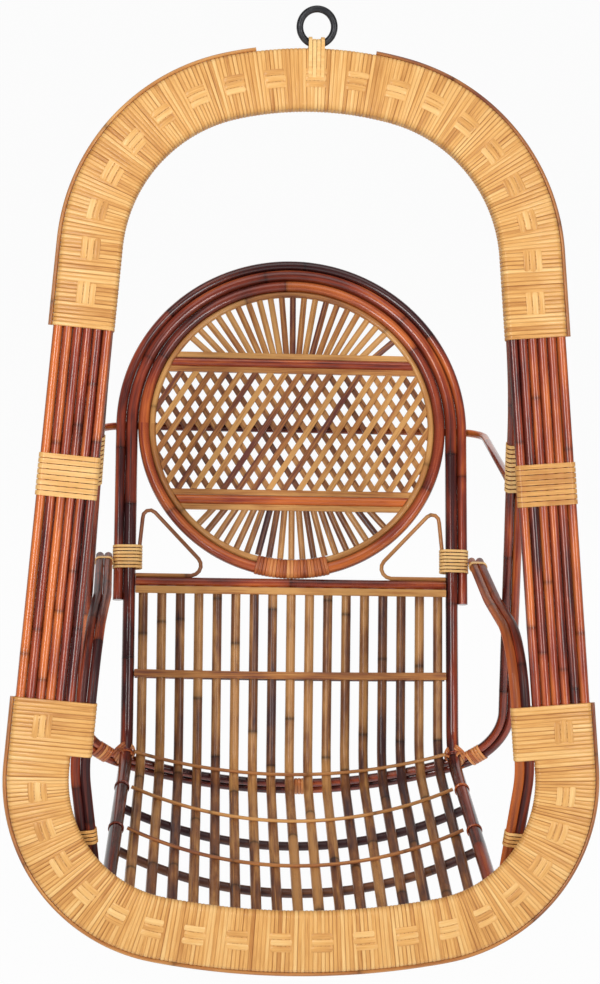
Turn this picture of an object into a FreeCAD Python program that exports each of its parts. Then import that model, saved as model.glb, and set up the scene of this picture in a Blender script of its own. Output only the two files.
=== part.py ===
import FreeCAD, Part
# A cane swing chair that hangs from one iron ring.
# Six canes lie side by side and are bent into an egg-shaped front hoop.  Two more canes share the
# hoop's crown, leave it at the shoulders and rake back to pass under the seat.  The seat and the
# back are one run of bent slats between two side rails, and the rails carry on upwards as the arch
# round the sunburst panel.  Cane wraps and windings bind the lot.
# The chair is laid out with its hoop upright (X to the right, Y from the hoop to the back, Z up,
# zero at the centre of the ring's eye) and then leant until its weight hangs under the ring.
import math
import os

Vec = FreeCAD.Vector
X_AXIS = Vec(1, 0, 0)
Y_AXIS = Vec(0, 1, 0)
Z_AXIS = Vec(0, 0, 1)

# Hanging ring and its lashing
RING_R = 25.0              # centre line of the bar
RING_BAR = 10.0            # bar diameter
RING_SEAT = 0.4            # between the bar and the crown's wrap
LASH_STRANDS = 4
LASH_PITCH = 6.0
LASH_WIDTH = 5.4
LASH_THICK = 1.5
LASH_FRONT = 36.0          # length that lies on the front of the crown
LASH_REAR = 24.0           # length that lies on the slanted rear of the crown
LASH_PLAY = 0.8            # between the strand and the bar
LASH_BEND_R = 12.0

# Fits
CLEAR = 0.3                # between canes that lie against each other
WRAP_FIT = 0.25            # between a wrap and the canes in it
WRAP = 1.6                 # thickness of the wrapping cane
REST = 0.6                 # between the slats and what crosses them
PLAY = 0.7                 # more of it, where both are curved
UNDER_PLAY = 1.2           # and more again, where the canes under the seat also pass the rails
REAR_PLAY = 2.2            # between the side rails and the rear hoop that passes under them

# Front hoop, along the centre line of its outermost cane
HOOP_CANE = 14.0
HOOP_CANES = 6
CROWN_R = 548.0
CROWN_TURN = 13.9          # from the top centre, degrees
SHOULDER_R = 296.0
FLARE = 4.74               # sides spread towards the bottom, degrees
SIDE_RUN = 758.0
HEEL_R = 253.0
HEEL_TURN = 84.1
SPLICE = 1.0               # between the two cut ends of a cane, under the sill's wrap

# Levels on the hoop's sides, down from the crown's outer cane
ARCH_WRAP_END = 403.0
SIDE_BAND_TOP = 586.0
CORNER_WRAP_TOP = 938.0
CORNER_WRAP_END = 1015.0

# Rim cane along the outside of the wraps
RIM_CANE = 5.0
RIM_BREAK_TURN = 9.0       # where the upper rims stop, either side of the crown, degrees

# Rear hoop
REAR_CANE = 14.0
REAR_LEAVE = 468.0         # level of the kick, where it bends away from the front hoop
REAR_KICK_R = 250.0
REAR_HEEL_R = 105.0
REAR_HEEL_TURN = 72.0
REAR_BAND_DOWN = 180.0     # along the leg, from the kick to the last turn of its band

# Windings of flat strip
BAND_STRIP = 6.9
BAND_PITCH = 7.8
SIDE_TURNS = 8
REAR_TURNS = 11
REAR_STRIP = 5.4
TIE_STRIP = 4.4
TIE_PITCH = 6.0
POST_TURNS = 7
LEG_TURNS = 4
STRAP_TURNS = 2
BAND_JOG_R = 12.0          # bends of the climb at the back of a winding
TIE_JOG_R = 4.0
CLIMB_SHARE = 0.85         # of the rear run that the climb takes up

# Back frame: side rails, arch and panel, in the reclined plane of the back
RECLINE = 13.0             # of the back from the hoop's plane, degrees
BEND_BACK = 400.0          # corner of seat and back, behind the hoop
BEND_RISE = 241.0          # the same corner, above the sill's outer cane
BEND_R = 90.0
RAIL_CANE = 21.0
RAIL_X = 276.0
RAIL_FRONT_X = 282.0
RAIL_FRONT_RISE = 107.0
ARCH_CANE = 17.0
STUB_S = 265.0             # cut ends of the outer arch, up the back from the corner
PANEL_RISE = 318.0         # foot of the round panel's ring, up the back from the corner
PANEL_CANE = 20.0
PANEL_R = 262.0
PANEL_LINER = 10.0
LINER_TIE_TURN = 14.0      # half the arc of the wrap at the panel's foot, degrees
BAR_CANE = 16.0
UPPER_BAR_SHARE = 0.443    # of the panel's radius, above its centre
LOWER_BAR_SHARE = 0.515    # and below it
BAR_STRIP = 10.0
BAR_STRIP_THICK = 5.0
RAY_SHARE = 0.042          # of the panel's radius, width of a ray
RAY_THICK = 6.0
UPPER_RAYS = 21
LOWER_RAYS = 19
LATTICE_STRIP = 10.0
LATTICE_THICK = 4.0
LATTICE_STEP = 26.5        # along the bars
LATTICE_LEAN = 58.0        # of the strips from the bars, degrees

# Corner loops beside the panel's foot, in the back's plane
LOOP_CANE = 6.0
LOOP_FOOT = 330.0          # cut end beside the post
LOOP_LEAN = 46.5           # of the run beside the panel's ring, degrees
LOOP_OFF_RING = 7.9        # between that run and the ring
LOOP_OFF_POST = 10.7       # between the loop's peak and the post
LOOP_PEAK_R = 12.0
LOOP_TIP_R = 18.0
POST_WRAP_S = 322.0        # first turn of the post's winding

# Slats and what crosses them
SLAT = 14.0
SLATS = 17
SLAT_STEP = 31.5
SEAT_SAG = 73.0            # of the scoop at the seat's front
TOP_RAIL = 16.0
STRIP_WIDTH = 13.0
STRIP_THICK = 4.0
MID_STRIP_S = 139.0
CROSS_CANE = 12.0
BINDING = 6.0
BINDING_BACKS = (301.0, 183.0)     # behind the hoop
UNDER_BACKS = (270.0, 150.0)

# Arms
ARM_CANE = 14.0
ARM_REST_S = 338.0         # where the arms meet the back's posts
ARM_TAIL = 16.0            # past the post
ARM_CROOK = 838.0          # level of the bend from arm to leg
ARM_CROOK_R = 105.0
ARM_PASS = 1.5             # between the arm and the rear hoop's leg, which it bows inwards to pass
ARM_WAIST_R = 350.0
ARM_KNEE_DROP = 20.0       # below the corner wrap, where the leg leaves the hoop's plane
ARM_KNEE_R = 150.0
LEG_END_BACK = 46.0        # lower cut end, behind the hoop
LEG_END_RISE = 112.0
LEG_LASH_DROP = 112.0      # along the leg, from its knee to its winding
STRAP_AHEAD = 30.0         # along the arm, from the post to its strap

# Back brace
BRACE_CANE = 13.0
BRACE_OFF = 24.9           # beside the outer arch
BRACE_BEND_R = 45.0
BRACE_LEVEL = 630.0        # where its ends meet the rear hoop, down from the crown

HALF_TURN = 180.0
QUARTER_TURN = 90.0
NEARLY_ZERO = 1e-6
MIDWAY_SHARE = 0.5
LITRE = 1e6                # in cubic millimetres
SETTLED_SHARE = 1e-9       # of a clearance, where the trials for the rear hoop's leg end
GAP_STEP_SHARE = 1 / 12    # of each run or bend, between the points where a winding's gap is measured
GAP_SKIP_SHARE = 3.0       # of a strip's width, along it, that is too near to count as another turn


class Route:
    """A cane's centre line, laid down as straight runs and bends, each tangent to the last."""

    def __init__(self, start, heading):
        self.at = Vec(start)
        self.heading = Vec(heading).normalize()
        self.edges = []

    def run(self, length):
        end = self.at + self.heading * length
        self.edges.append(Part.LineSegment(self.at, end).toShape())
        self.at = end
        return self

    def bend(self, radius, degrees, axis):
        """Turn by so many degrees about an axis that is square to the heading."""
        side = math.copysign(1, degrees)
        centre = self.at + axis.cross(self.heading) * (radius * side)
        spoke = self.at - centre
        middle = centre + FreeCAD.Rotation(axis, degrees / 2).multVec(spoke)
        end = centre + FreeCAD.Rotation(axis, degrees).multVec(spoke)
        self.edges.append(Part.Arc(self.at, middle, end).toShape())
        self.heading = FreeCAD.Rotation(axis, degrees).multVec(self.heading)
        self.at = end
        return self


def corner(before, at, after, radius):
    """Start, middle and end of the arc that rounds the corner of three points."""
    to_before = (before - at).normalize()
    to_after = (after - at).normalize()
    half = to_before.getAngle(to_after) / 2
    reach = radius / math.tan(half)
    inward = (to_before + to_after).normalize()
    middle = at + inward * (radius / math.sin(half) - radius)
    return at + to_before * reach, middle, at + to_after * reach


def rounded(points, radii):
    """Edges along a list of points, with each inner point rounded by its radius."""
    edges = []
    last = points[0]
    for i, radius in enumerate(radii, 1):
        start, middle, end = corner(points[i - 1], points[i], points[i + 1], radius)
        edges.append(Part.LineSegment(last, start).toShape())
        edges.append(Part.Arc(start, middle, end).toShape())
        last = end
    edges.append(Part.LineSegment(last, points[-1]).toShape())
    return edges


def sweep(edges, profile):
    return Part.Wire(edges).makePipeShell([profile], True, False)


def start_of(edges):
    first = edges[0]
    heading = first.tangentAt(first.FirstParameter)
    return first.valueAt(first.FirstParameter), heading


def tube(edges, diameter):
    """A round cane along a route."""
    start, heading = start_of(edges)
    return sweep(edges, Part.Wire(Part.makeCircle(diameter / 2, start, heading)))


def strip(edges, width, thick, across):
    """A flat strip along a route: its width lies along across, its thickness square to that."""
    start, heading = start_of(edges)
    wide = across * (width / 2)
    deep = heading.cross(across).normalize() * (thick / 2)
    ring = [start + wide + deep, start - wide + deep, start - wide - deep, start + wide - deep]
    return sweep(edges, Part.makePolygon(ring + ring[:1]))


def hull_wire(centres, radius, start, across, depth):
    """Outline of equal rounds at the corners of a convex chain, in the plane of across and depth."""
    normal = across.cross(depth)
    spots = [start + across * a + depth * d for a, d in centres]
    edges = []
    count = len(spots)
    last = None
    for i in range(count + 1):
        here = spots[i % count]
        before = (here - spots[i - 1 if i else count - 1]).normalize()
        after = (spots[(i + 1) % count] - here).normalize()
        out_in = before.cross(normal)
        out_on = after.cross(normal)
        arrive = here + out_in * radius
        if last is not None:
            edges.append(Part.LineSegment(last, arrive).toShape())
        if i < count:
            middle = out_in + out_on
            middle = middle.normalize() if middle.Length > NEARLY_ZERO else before
            edges.append(Part.Arc(arrive, here + middle * radius, here + out_on * radius).toShape())
            last = here + out_on * radius
    return Part.Wire(edges)


def sleeve(edges, centres, radius, across, depth):
    """A wrap of one thickness round canes whose centres lie at these places across the route."""
    start, heading = start_of(edges)
    outer = sweep(edges, hull_wire(centres, radius + WRAP_FIT + WRAP, start, across, depth))
    inner = sweep(edges, hull_wire(centres, radius + WRAP_FIT, start, across, depth))
    return outer.cut(inner)


def self_gap(edges, width):
    """Least gap between neighbouring turns, from points along the strip's centre line."""
    points = []
    travelled = 0
    for edge in edges:
        span = edge.LastParameter - edge.FirstParameter
        for k in range(round(1 / GAP_STEP_SHARE)):
            share = k * GAP_STEP_SHARE
            points.append((travelled + edge.Length * share, edge.valueAt(edge.FirstParameter + span * share)))
        travelled += edge.Length
    near = width * GAP_SKIP_SHARE
    apart = [(p - q).Length for i, (s, p) in enumerate(points) for t, q in points[:i] if s - t > near]
    return min(apart) - width


def winding(name, half_span, core_r, turns, pitch, width, jog_r):
    """Turns of flat strip round an oblong core that stands along Z, climbing across the rear."""
    rho = core_r + WRAP_FIT + WRAP / 2
    span = 2 * half_span
    reach = CLIMB_SHARE * span
    level = (span - reach) / 2
    slope = math.hypot(reach, pitch - 2 * jog_r)
    tilt = math.degrees(math.atan2(pitch - 2 * jog_r, reach) + math.asin(2 * jog_r / slope))
    climb = math.sqrt(slope ** 2 - (2 * jog_r) ** 2)
    route = Route(Vec(WRAP - half_span, rho, 0), -X_AXIS).run(WRAP)
    for turn in range(turns):
        route.bend(rho, HALF_TURN, Z_AXIS).run(span).bend(rho, HALF_TURN, Z_AXIS)
        if turn < turns - 1:
            route.run(level).bend(jog_r, tilt, Y_AXIS).run(climb).bend(jog_r, -tilt, Y_AXIS).run(level)
    route.run(WRAP)
    print("%s: least gap to itself %.2f mm" % (name, self_gap(route.edges, width)))
    return strip(route.edges, width, WRAP, Z_AXIS)


def set_along(shape, at, up, across):
    """Place a winding made along Z so that it stands at a point, along up."""
    across = (across - up * across.dot(up)).normalize()
    depth = up.cross(across)
    matrix = FreeCAD.Matrix(across.x, depth.x, up.x, at.x, across.y, depth.y, up.y, at.y,
                            across.z, depth.z, up.z, at.z, 0, 0, 0, 1)
    placed = shape.copy()
    placed.Placement = FreeCAD.Placement(matrix)
    return placed


def mirrored(shape):
    return shape.mirror(Vec(0, 0, 0), X_AXIS)


# Hoop: insets of its canes and of the arms beside it, and the points where its runs begin
CANE_STEP = HOOP_CANE + CLEAR
HOOP_INSETS = [i * CANE_STEP for i in range(HOOP_CANES)]
INNER_INSET = HOOP_INSETS[-1]
ARM_STEP = ARM_CANE + CLEAR
FIRST_ARM = INNER_INSET + (HOOP_CANE + ARM_CANE) / 2 + WRAP_FIT + WRAP + CLEAR
ARM_INSETS = [FIRST_ARM, FIRST_ARM + ARM_STEP]
WRAP_OUT = HOOP_CANE / 2 + WRAP_FIT + WRAP
CROWN_Z = -(RING_R + RING_BAR / 2 + RING_SEAT + WRAP_OUT)
SHOULDER_TURN = QUARTER_TURN - FLARE - CROWN_TURN
SILL_TURN = QUARTER_TURN + FLARE - HEEL_TURN
DOWN_SIDE = Vec(math.sin(math.radians(FLARE)), 0, -math.cos(math.radians(FLARE)))
INTO_SIDE = Vec(-DOWN_SIDE.z, 0, DOWN_SIDE.x) * -1

half_hoop = Route(Vec(0, 0, CROWN_Z), X_AXIS)
half_hoop.bend(CROWN_R, CROWN_TURN, Y_AXIS).bend(SHOULDER_R, SHOULDER_TURN, Y_AXIS)
SIDE_TOP = half_hoop.at
half_hoop.run(SIDE_RUN).bend(HEEL_R, HEEL_TURN, Y_AXIS)
SILL_R = half_hoop.at.x / math.sin(math.radians(SILL_TURN))
half_hoop.bend(SILL_R, SILL_TURN, Y_AXIS)
SILL_Z = half_hoop.at.z


def side_point(level, inset):
    """A point on the right side's straight run, so far below the crown and so far in."""
    fall = (SIDE_TOP.z - (CROWN_Z - level)) / -DOWN_SIDE.z
    return SIDE_TOP + DOWN_SIDE * fall + INTO_SIDE * inset


def run_to_shoulder(level):
    return (SIDE_TOP.z - (CROWN_Z - level)) / -DOWN_SIDE.z


def mirror_point(point):
    return Vec(-point.x, point.y, point.z)


def over_crown(level, inset, depth):
    """Route from the left side, over the crown, to the right side."""
    rise = run_to_shoulder(level)
    start = mirror_point(side_point(level, inset)) + Y_AXIS * depth
    route = Route(start, Vec(DOWN_SIDE.x, 0, -DOWN_SIDE.z)).run(rise)
    route.bend(SHOULDER_R - inset, SHOULDER_TURN, Y_AXIS)
    route.bend(CROWN_R - inset, 2 * CROWN_TURN, Y_AXIS)
    return route.bend(SHOULDER_R - inset, SHOULDER_TURN, Y_AXIS).run(rise)


def under_sill(level, inset):
    """Route from the left side, round the sill, to the right side."""
    fall = SIDE_RUN - run_to_shoulder(level)
    route = Route(mirror_point(side_point(level, inset)), mirror_point(DOWN_SIDE)).run(fall)
    route.bend(HEEL_R - inset, -HEEL_TURN, Y_AXIS)
    route.bend(SILL_R - inset, -2 * SILL_TURN, Y_AXIS)
    return route.bend(HEEL_R - inset, -HEEL_TURN, Y_AXIS).run(fall)


def hoop_cane(inset):
    """One cane of the front hoop, from its cut end at the sill all the way round to the other."""
    radius = SILL_R - inset
    slip = math.degrees(SPLICE / 2 / radius)
    centre = Vec(0, 0, SILL_Z + inset + radius)
    away = FreeCAD.Rotation(Y_AXIS, slip)
    route = Route(centre + away.multVec(-Z_AXIS * radius), away.multVec(-X_AXIS))
    route.bend(radius, SILL_TURN - slip, Y_AXIS).bend(HEEL_R - inset, HEEL_TURN, Y_AXIS).run(SIDE_RUN)
    route.bend(SHOULDER_R - inset, SHOULDER_TURN, Y_AXIS).bend(CROWN_R - inset, 2 * CROWN_TURN, Y_AXIS)
    route.bend(SHOULDER_R - inset, SHOULDER_TURN, Y_AXIS).run(SIDE_RUN)
    route.bend(HEEL_R - inset, HEEL_TURN, Y_AXIS).bend(radius, SILL_TURN - slip, Y_AXIS)
    return tube(route.edges, HOOP_CANE)


# Back: its corner with the seat, its plane, and the side rails' lean towards the arch
BEND = Vec(0, BEND_BACK, SILL_Z + BEND_RISE)
UP_BACK = Vec(0, math.sin(math.radians(RECLINE)), math.cos(math.radians(RECLINE)))
BEHIND = Vec(0, UP_BACK.z, -UP_BACK.y)
PANEL_S = PANEL_RISE + PANEL_R
ARCH_R = PANEL_R + (PANEL_CANE + RAIL_CANE) / 2 + CLEAR
OUTER_ARCH_R = ARCH_R + (RAIL_CANE + ARCH_CANE) / 2 + CLEAR
LEG_LEAN = math.degrees(math.atan2(PANEL_S, RAIL_X) - math.acos(ARCH_R / math.hypot(PANEL_S, RAIL_X)))
FRONT_BACK = WRAP_OUT + RAIL_CANE / 2
RAIL_FRONT = Vec(RAIL_FRONT_X, FRONT_BACK, SILL_Z + RAIL_FRONT_RISE)
SLAT_HALF = SLAT / 2


def on_back(x, up, behind=0):
    """A point of the back: across, up from the corner, and behind the rails' plane."""
    return BEND + X_AXIS * x + UP_BACK * up + BEHIND * behind


LEG_UP = (UP_BACK + X_AXIS * math.tan(math.radians(LEG_LEAN))).normalize()


def leg_x(up, radius):
    """Where an arch's leg of this radius stands at a height up the back."""
    lean = math.radians(LEG_LEAN)
    return (radius - (PANEL_S - up) * math.sin(lean)) / math.cos(lean)


def arch_points(radius):
    """Tangent point of the right leg, top and tangent point of the left leg of an arch."""
    lean = math.radians(LEG_LEAN)
    x = radius * math.cos(lean)
    up = PANEL_S - radius * math.sin(lean)
    return on_back(x, up), on_back(0, PANEL_S + radius), on_back(-x, up)


def back_frame():
    """The long cane that is both side rails and the arch between them."""
    foot, top, other_foot = arch_points(ARCH_R)
    knee = BEND + X_AXIS * RAIL_X
    start, middle, end = corner(RAIL_FRONT, knee, foot, BEND_R)
    left = [mirror_point(p) for p in (RAIL_FRONT, start, middle, end)]
    edges = [Part.LineSegment(RAIL_FRONT, start), Part.Arc(start, middle, end), Part.LineSegment(end, foot),
             Part.Arc(foot, top, other_foot), Part.LineSegment(other_foot, left[3]),
             Part.Arc(left[3], left[2], left[1]), Part.LineSegment(left[1], left[0])]
    return tube([edge.toShape() for edge in edges], RAIL_CANE)


def outer_arch():
    foot, top, other_foot = arch_points(OUTER_ARCH_R)
    stub = on_back(leg_x(STUB_S, OUTER_ARCH_R), STUB_S)
    edges = [Part.LineSegment(stub, foot), Part.Arc(foot, top, other_foot),
             Part.LineSegment(other_foot, mirror_point(stub))]
    return tube([edge.toShape() for edge in edges], ARCH_CANE)


# Rear hoop: its plane runs from the kick at the shoulder to just under the corner of the rails
REAR_INSETS = HOOP_INSETS[-2:]
REAR_DEPTH = (HOOP_CANE + REAR_CANE) / 2 + CLEAR
RAIL_CORNER = corner(RAIL_FRONT, BEND + X_AXIS * RAIL_X, on_back(RAIL_X, PANEL_S), BEND_R)
OUT_OF_CORNER = (BEND + X_AXIS * RAIL_X - RAIL_CORNER[1]).normalize()
REAR_PASS = RAIL_CORNER[1] + OUT_OF_CORNER * ((RAIL_CANE + REAR_CANE) / 2 + REAR_PLAY)
KICK_POINT = side_point(REAR_LEAVE, INNER_INSET) + Y_AXIS * REAR_DEPTH
KICK_RAKE = math.degrees(math.atan2(REAR_PASS.y - KICK_POINT.y, KICK_POINT.z - REAR_PASS.z))
REAR_DOWN = Vec(0, math.sin(math.radians(KICK_RAKE)), -math.cos(math.radians(KICK_RAKE)))
REAR_NORMAL = Vec(0, -REAR_DOWN.z, REAR_DOWN.y)
LEG_DOWN = (X_AXIS * DOWN_SIDE.x + REAR_DOWN * -DOWN_SIDE.z)
REAR_SILL_TURN = QUARTER_TURN + FLARE - REAR_HEEL_TURN
KICK_AXIS = DOWN_SIDE.cross(LEG_DOWN).normalize()
KICK_TURN = math.degrees(DOWN_SIDE.getAngle(LEG_DOWN))
KICK_REACH = REAR_KICK_R * math.tan(math.radians(KICK_TURN / 2))


def rear_half(leg):
    """The inner rear cane from the kick to the middle of its sill: end route and the sill's radius."""
    route = Route(KICK_POINT, LEG_DOWN).run(leg).bend(REAR_HEEL_R, REAR_HEEL_TURN, REAR_NORMAL)
    radius = route.at.x / math.sin(math.radians(REAR_SILL_TURN))
    route.bend(radius, REAR_SILL_TURN, REAR_NORMAL)
    return route, radius


def sag_at(x, radius):
    return math.sqrt(radius ** 2 - x ** 2) - math.sqrt(radius ** 2 - RAIL_X ** 2)


# The leg is as long as it takes the rear sill to pass just under the rails
REAR_LEG = (REAR_PASS - KICK_POINT).Length
over = CLEAR
while abs(over) > SETTLED_SHARE * CLEAR:
    rear_route, REAR_SILL_R = rear_half(REAR_LEG)
    over = (REAR_PASS - rear_route.at).dot(REAR_DOWN) + sag_at(0, REAR_SILL_R)
    REAR_LEG += over
REAR_SILL = rear_route.at


def rear_cane(inset):
    """One cane of the rear hoop: up from under the seat, over the crown and down again."""
    grow = INNER_INSET - inset
    sill_r = REAR_SILL_R + grow
    leg = REAR_LEG - grow * math.tan(math.radians(FLARE)) - KICK_REACH
    slip = math.degrees(SPLICE / 2 / sill_r)
    centre = REAR_SILL + REAR_DOWN * (grow - sill_r)
    away = FreeCAD.Rotation(REAR_NORMAL, slip)
    route = Route(centre + away.multVec(REAR_DOWN * sill_r), away.multVec(-X_AXIS))
    route.bend(sill_r, REAR_SILL_TURN - slip, REAR_NORMAL)
    route.bend(REAR_HEEL_R + grow, REAR_HEEL_TURN, REAR_NORMAL).run(leg)
    route.bend(REAR_KICK_R, KICK_TURN, mirror_point(KICK_AXIS))
    rise = run_to_shoulder(CROWN_Z - route.at.z) - inset * math.tan(math.radians(FLARE))
    route.run(rise).bend(SHOULDER_R - inset, SHOULDER_TURN, Y_AXIS)
    route.bend(CROWN_R - inset, 2 * CROWN_TURN, Y_AXIS)
    route.bend(SHOULDER_R - inset, SHOULDER_TURN, Y_AXIS).run(rise)
    route.bend(REAR_KICK_R, KICK_TURN, KICK_AXIS).run(leg)
    route.bend(REAR_HEEL_R + grow, REAR_HEEL_TURN, REAR_NORMAL)
    route.bend(sill_r, REAR_SILL_TURN - slip, REAR_NORMAL)
    return tube(route.edges, REAR_CANE)


# Wraps, rims and bands of the hoops
RIM_INSET = -(WRAP_OUT + CLEAR + RIM_CANE / 2)
HOOP_CENTRES = [(0, 0), (INNER_INSET, 0)]
ARCH_CENTRES = HOOP_CENTRES + [(INNER_INSET, REAR_DEPTH), (REAR_INSETS[0], REAR_DEPTH)]
CORNER_CENTRES = [(0, 0), (ARM_INSETS[-1], 0)]
BAND_AT = side_point(SIDE_BAND_TOP + (SIDE_TURNS - 1) * BAND_PITCH + BAND_STRIP / 2, INNER_INSET / 2)


def arch_wrap():
    route = over_crown(ARCH_WRAP_END, 0, 0)
    return sleeve(route.edges, ARCH_CENTRES, HOOP_CANE / 2, mirror_point(INTO_SIDE), Y_AXIS)


def sill_wrap():
    route = under_sill(CORNER_WRAP_END + CLEAR, 0)
    return sleeve(route.edges, HOOP_CENTRES, HOOP_CANE / 2, mirror_point(INTO_SIDE), Y_AXIS)


def corner_wrap():
    top = side_point(CORNER_WRAP_TOP, 0)
    end = side_point(CORNER_WRAP_END, 0)
    edges = [Part.LineSegment(top, end).toShape()]
    return sleeve(edges, CORNER_CENTRES, HOOP_CANE / 2, INTO_SIDE, Y_AXIS)


def upper_rim():
    route = Route(side_point(ARCH_WRAP_END, RIM_INSET), DOWN_SIDE * -1).run(run_to_shoulder(ARCH_WRAP_END))
    route.bend(SHOULDER_R - RIM_INSET, -SHOULDER_TURN, Y_AXIS)
    route.bend(CROWN_R - RIM_INSET, RIM_BREAK_TURN - CROWN_TURN, Y_AXIS)
    return tube(route.edges, RIM_CANE)


def side_band():
    half = INNER_INSET / 2
    turns = winding("side band", half, HOOP_CANE / 2, SIDE_TURNS, BAND_PITCH, BAND_STRIP, BAND_JOG_R)
    return set_along(turns, BAND_AT, DOWN_SIDE * -1, INTO_SIDE * -1)


REAR_OUT = LEG_DOWN.cross(REAR_NORMAL).normalize()
REAR_PAIR = (REAR_CANE + CLEAR) / 2


def rear_leg_point(down, across=0):
    """A point between the two canes of the right rear leg, so far below the kick."""
    return KICK_POINT + LEG_DOWN * down + REAR_OUT * (REAR_PAIR + across)


def rear_band():
    turns = winding("rear band", REAR_PAIR, REAR_CANE / 2, REAR_TURNS, BAND_PITCH, REAR_STRIP, TIE_JOG_R)
    return set_along(turns, rear_leg_point(REAR_BAND_DOWN), LEG_DOWN * -1, REAR_OUT)


def ring_lashing():
    """Strands of cane through the ring's eye, down the front and the slanted rear of the crown."""
    rho = WRAP_OUT + CLEAR + LASH_THICK / 2
    wedge = math.atan2(REAR_DEPTH, REAR_INSETS[0])
    ease = math.tan(wedge / 2)
    strands = []
    for i in range(LASH_STRANDS):
        x = (i - (LASH_STRANDS - 1) / 2) * LASH_PITCH
        edge = abs(x) + LASH_WIDTH / 2
        centre = LASH_PLAY + LASH_THICK / 2 - rho - math.sqrt((RING_R - RING_BAR / 2) ** 2 - edge ** 2)
        route = Route(Vec(x, -rho, CROWN_Z - LASH_FRONT), Z_AXIS).run(centre - CROWN_Z + LASH_FRONT)
        route.bend(rho, -HALF_TURN, X_AXIS).run(centre - CROWN_Z - (rho + LASH_BEND_R) * ease)
        route.bend(LASH_BEND_R, math.degrees(wedge), X_AXIS).run(LASH_REAR)
        strands.append(strip(route.edges, LASH_WIDTH, LASH_THICK, X_AXIS))
    return Part.makeCompound(strands)


# Panel of the back: liner, bars, rays and lattice inside the ring
LINER_R = PANEL_R - (PANEL_CANE + PANEL_LINER) / 2 - CLEAR
INSIDE_R = LINER_R - PANEL_LINER / 2 - CLEAR
TIE_CENTRE = PANEL_R - LINER_R - (PANEL_CANE - PANEL_LINER) / 2
TIE_INSIDE_R = PANEL_R - TIE_CENTRE - PANEL_CANE / 2 - WRAP_FIT - WRAP - CLEAR
UPPER_BAR_V = UPPER_BAR_SHARE * PANEL_R
LOWER_BAR_V = LOWER_BAR_SHARE * PANEL_R
RAY_WIDTH = RAY_SHARE * PANEL_R
STRIP_OFF = (BAR_CANE + BAR_STRIP) / 2 + CLEAR
UPPER_STRIPS = (UPPER_BAR_V + STRIP_OFF, UPPER_BAR_V - STRIP_OFF)
LOWER_STRIPS = (-LOWER_BAR_V + STRIP_OFF, -LOWER_BAR_V - STRIP_OFF)
LATTICE_TOP = UPPER_STRIPS[1] - BAR_STRIP / 2 - CLEAR
LATTICE_FOOT = LOWER_STRIPS[0] + BAR_STRIP / 2 + CLEAR


def chord(height, radius):
    return math.sqrt(radius ** 2 - height ** 2)


def on_panel(x, v, behind=0):
    return on_back(x, PANEL_S + v, behind)


def slab(corners, front, thick):
    """A flat piece of the back: corners across and up, from its front face backwards."""
    points = [on_panel(x, v, front) for x, v in corners]
    return Part.Face(Part.makePolygon(points + points[:1])).extrude(BEHIND * thick)


def panel_ring(radius, cane):
    return Part.makeTorus(radius, cane / 2, on_panel(0, 0), BEHIND)


def panel_tie():
    turn = math.radians(LINER_TIE_TURN)
    ends = [on_panel(side * PANEL_R * math.sin(turn), -PANEL_R * math.cos(turn)) for side in (-1, 1)]
    arc = Part.Arc(ends[0], on_panel(0, -PANEL_R), ends[1]).toShape()
    inward = (on_panel(0, 0) - ends[0]).normalize()
    return sleeve([arc], [(0, 0), (TIE_CENTRE, 0)], PANEL_CANE / 2, inward, BEHIND)


def fitted(shape, radius):
    """Trim a piece of the panel to the round opening of this radius."""
    room = Part.makeCylinder(radius, 2 * PANEL_CANE, on_panel(0, 0, -PANEL_CANE), BEHIND)
    return shape.common(room)


def bar(v):
    long = Part.LineSegment(on_panel(-INSIDE_R, v), on_panel(INSIDE_R, v)).toShape()
    return fitted(tube([long], BAR_CANE), INSIDE_R)


def bar_strip(v):
    low = v - BAR_STRIP / 2
    top = v + BAR_STRIP / 2
    corners = [(-INSIDE_R, low), (INSIDE_R, low), (INSIDE_R, top), (-INSIDE_R, top)]
    return fitted(slab(corners, -BAR_STRIP_THICK / 2, BAR_STRIP_THICK), INSIDE_R)


def split_cane(start, end, across):
    """Half-round cane from start to end, its round side to the front."""
    side = across * (RAY_WIDTH / 2)
    left = start - side + BEHIND * (RAY_THICK / 2)
    right = start + side + BEHIND * (RAY_THICK / 2)
    front = start - BEHIND * (RAY_THICK / 2)
    outline = [Part.Arc(left, front, right).toShape(), Part.LineSegment(right, left).toShape()]
    return Part.Face(Part.Wire(outline)).extrude(end - start)


def rays(count, base, side):
    """A fan of split canes from a bar's strip to the liner, all aimed at the panel's centre."""
    limit = math.acos((base + RAY_WIDTH) / INSIDE_R)
    corners = [(-INSIDE_R, 0), (INSIDE_R, 0), (INSIDE_R, side * base), (-INSIDE_R, side * base)]
    taken = slab(corners, -PANEL_CANE, 2 * PANEL_CANE)
    solids = []
    for i in range(count):
        turn = limit * (2 * (i + 1) / (count + 1) - 1)
        tie_near = side < 0 and abs(math.degrees(turn)) < LINER_TIE_TURN + math.degrees(RAY_WIDTH / PANEL_R)
        inner = base / math.cos(turn) - RAY_WIDTH / 2 * abs(math.tan(turn))
        along = Vec(math.sin(turn), 0, side * math.cos(turn))
        ends = [on_panel(along.x * r, along.z * r) for r in (inner, INSIDE_R)]
        across = X_AXIS * math.cos(turn) - UP_BACK * (side * math.sin(turn))
        ray = split_cane(ends[0], ends[1], across).cut(taken)
        solids.append(fitted(ray, TIE_INSIDE_R if tie_near else INSIDE_R))
    return Part.makeCompound(solids)


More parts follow.
